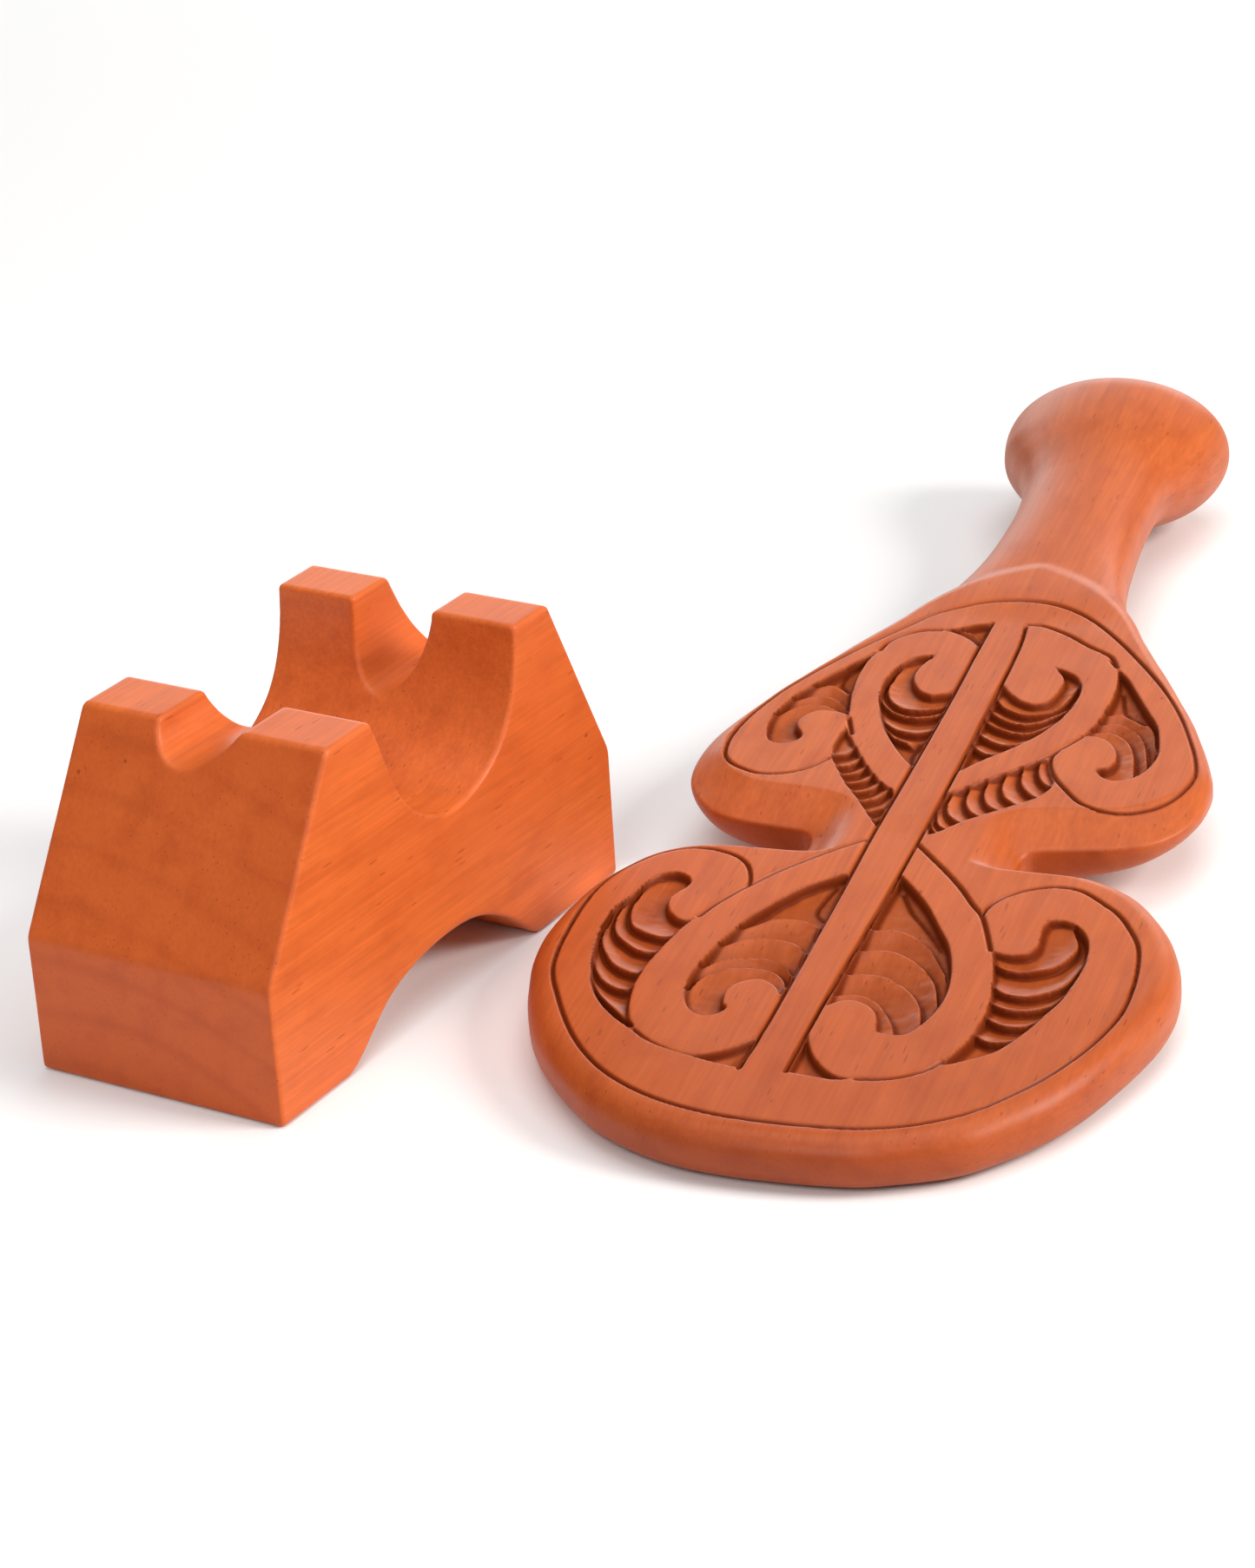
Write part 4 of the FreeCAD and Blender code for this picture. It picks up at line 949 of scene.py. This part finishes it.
def area(name, at, to, size, watts, colour=(1, 1, 1)):
    la = bpy.data.lights.new(name, "AREA")
    la.shape = "RECTANGLE"
    la.size, la.size_y = size
    la.energy = watts
    la.color = colour
    o = bpy.data.objects.new(name, la)
    o.location = at
    o.rotation_euler = (Vector(to) - Vector(at)).to_track_quat("-Z", "Y").to_euler()
    bpy.context.scene.collection.objects.link(o)
    return o


area("key", (1.20, 0.25, 0.80), (0.0, 0.0, 0.03), (0.6, 0.6), 19.5, (1.0, 0.96, 0.92))
area("back", (-0.75, 1.50, 0.37), (0.0, 0.0, 0.03), (1.7, 0.46), 9.5)
area("top", (0.10, 0.10, 2.6), (0.0, 0.0, 0.0), (2.2, 2.2), 34.0)
area("front", (0.32, -1.35, 1.15), (0.0, 0.0, 0.03), (0.9, 0.6), 9.0)

# --------------------------------------------------------------------- camera
cam_data = bpy.data.cameras.new("camera")
cam_data.sensor_fit = "AUTO"
cam_data.sensor_width = 36.0
cam_data.lens = 4999.27 / 1806.0 * 36.0
cam_data.clip_start, cam_data.clip_end = 0.05, 50.0
cam = bpy.data.objects.new("camera", cam_data)
bpy.context.scene.collection.objects.link(cam)
pitch, roll, yaw = 0.42664, -0.06465, 0.57005
fwd = np.array([math.cos(yaw) * math.cos(pitch), math.sin(yaw) * math.cos(pitch), -math.sin(pitch)])
rgt = np.array([math.sin(yaw), -math.cos(yaw), 0.0])
up = np.cross(rgt, fwd)
cr, sr = math.cos(roll), math.sin(roll)
r2, u2 = cr * rgt + sr * up, -sr * rgt + cr * up


def to_world(v):
    return Vector((-v[1], v[0], v[2]))


m = Matrix.Identity(4)
for i, col in enumerate((to_world(r2), to_world(u2), -to_world(fwd))):
    m[0][i], m[1][i], m[2][i] = col
pos = (np.array([463.56, -590.72, 409.03]) - ORIGIN) * 0.001
m[0][3], m[1][3], m[2][3] = pos
cam.matrix_world = m
bpy.context.scene.camera = cam

bpy.context.scene.view_settings.view_transform = "Standard"
bpy.context.scene.view_settings.look = "None"
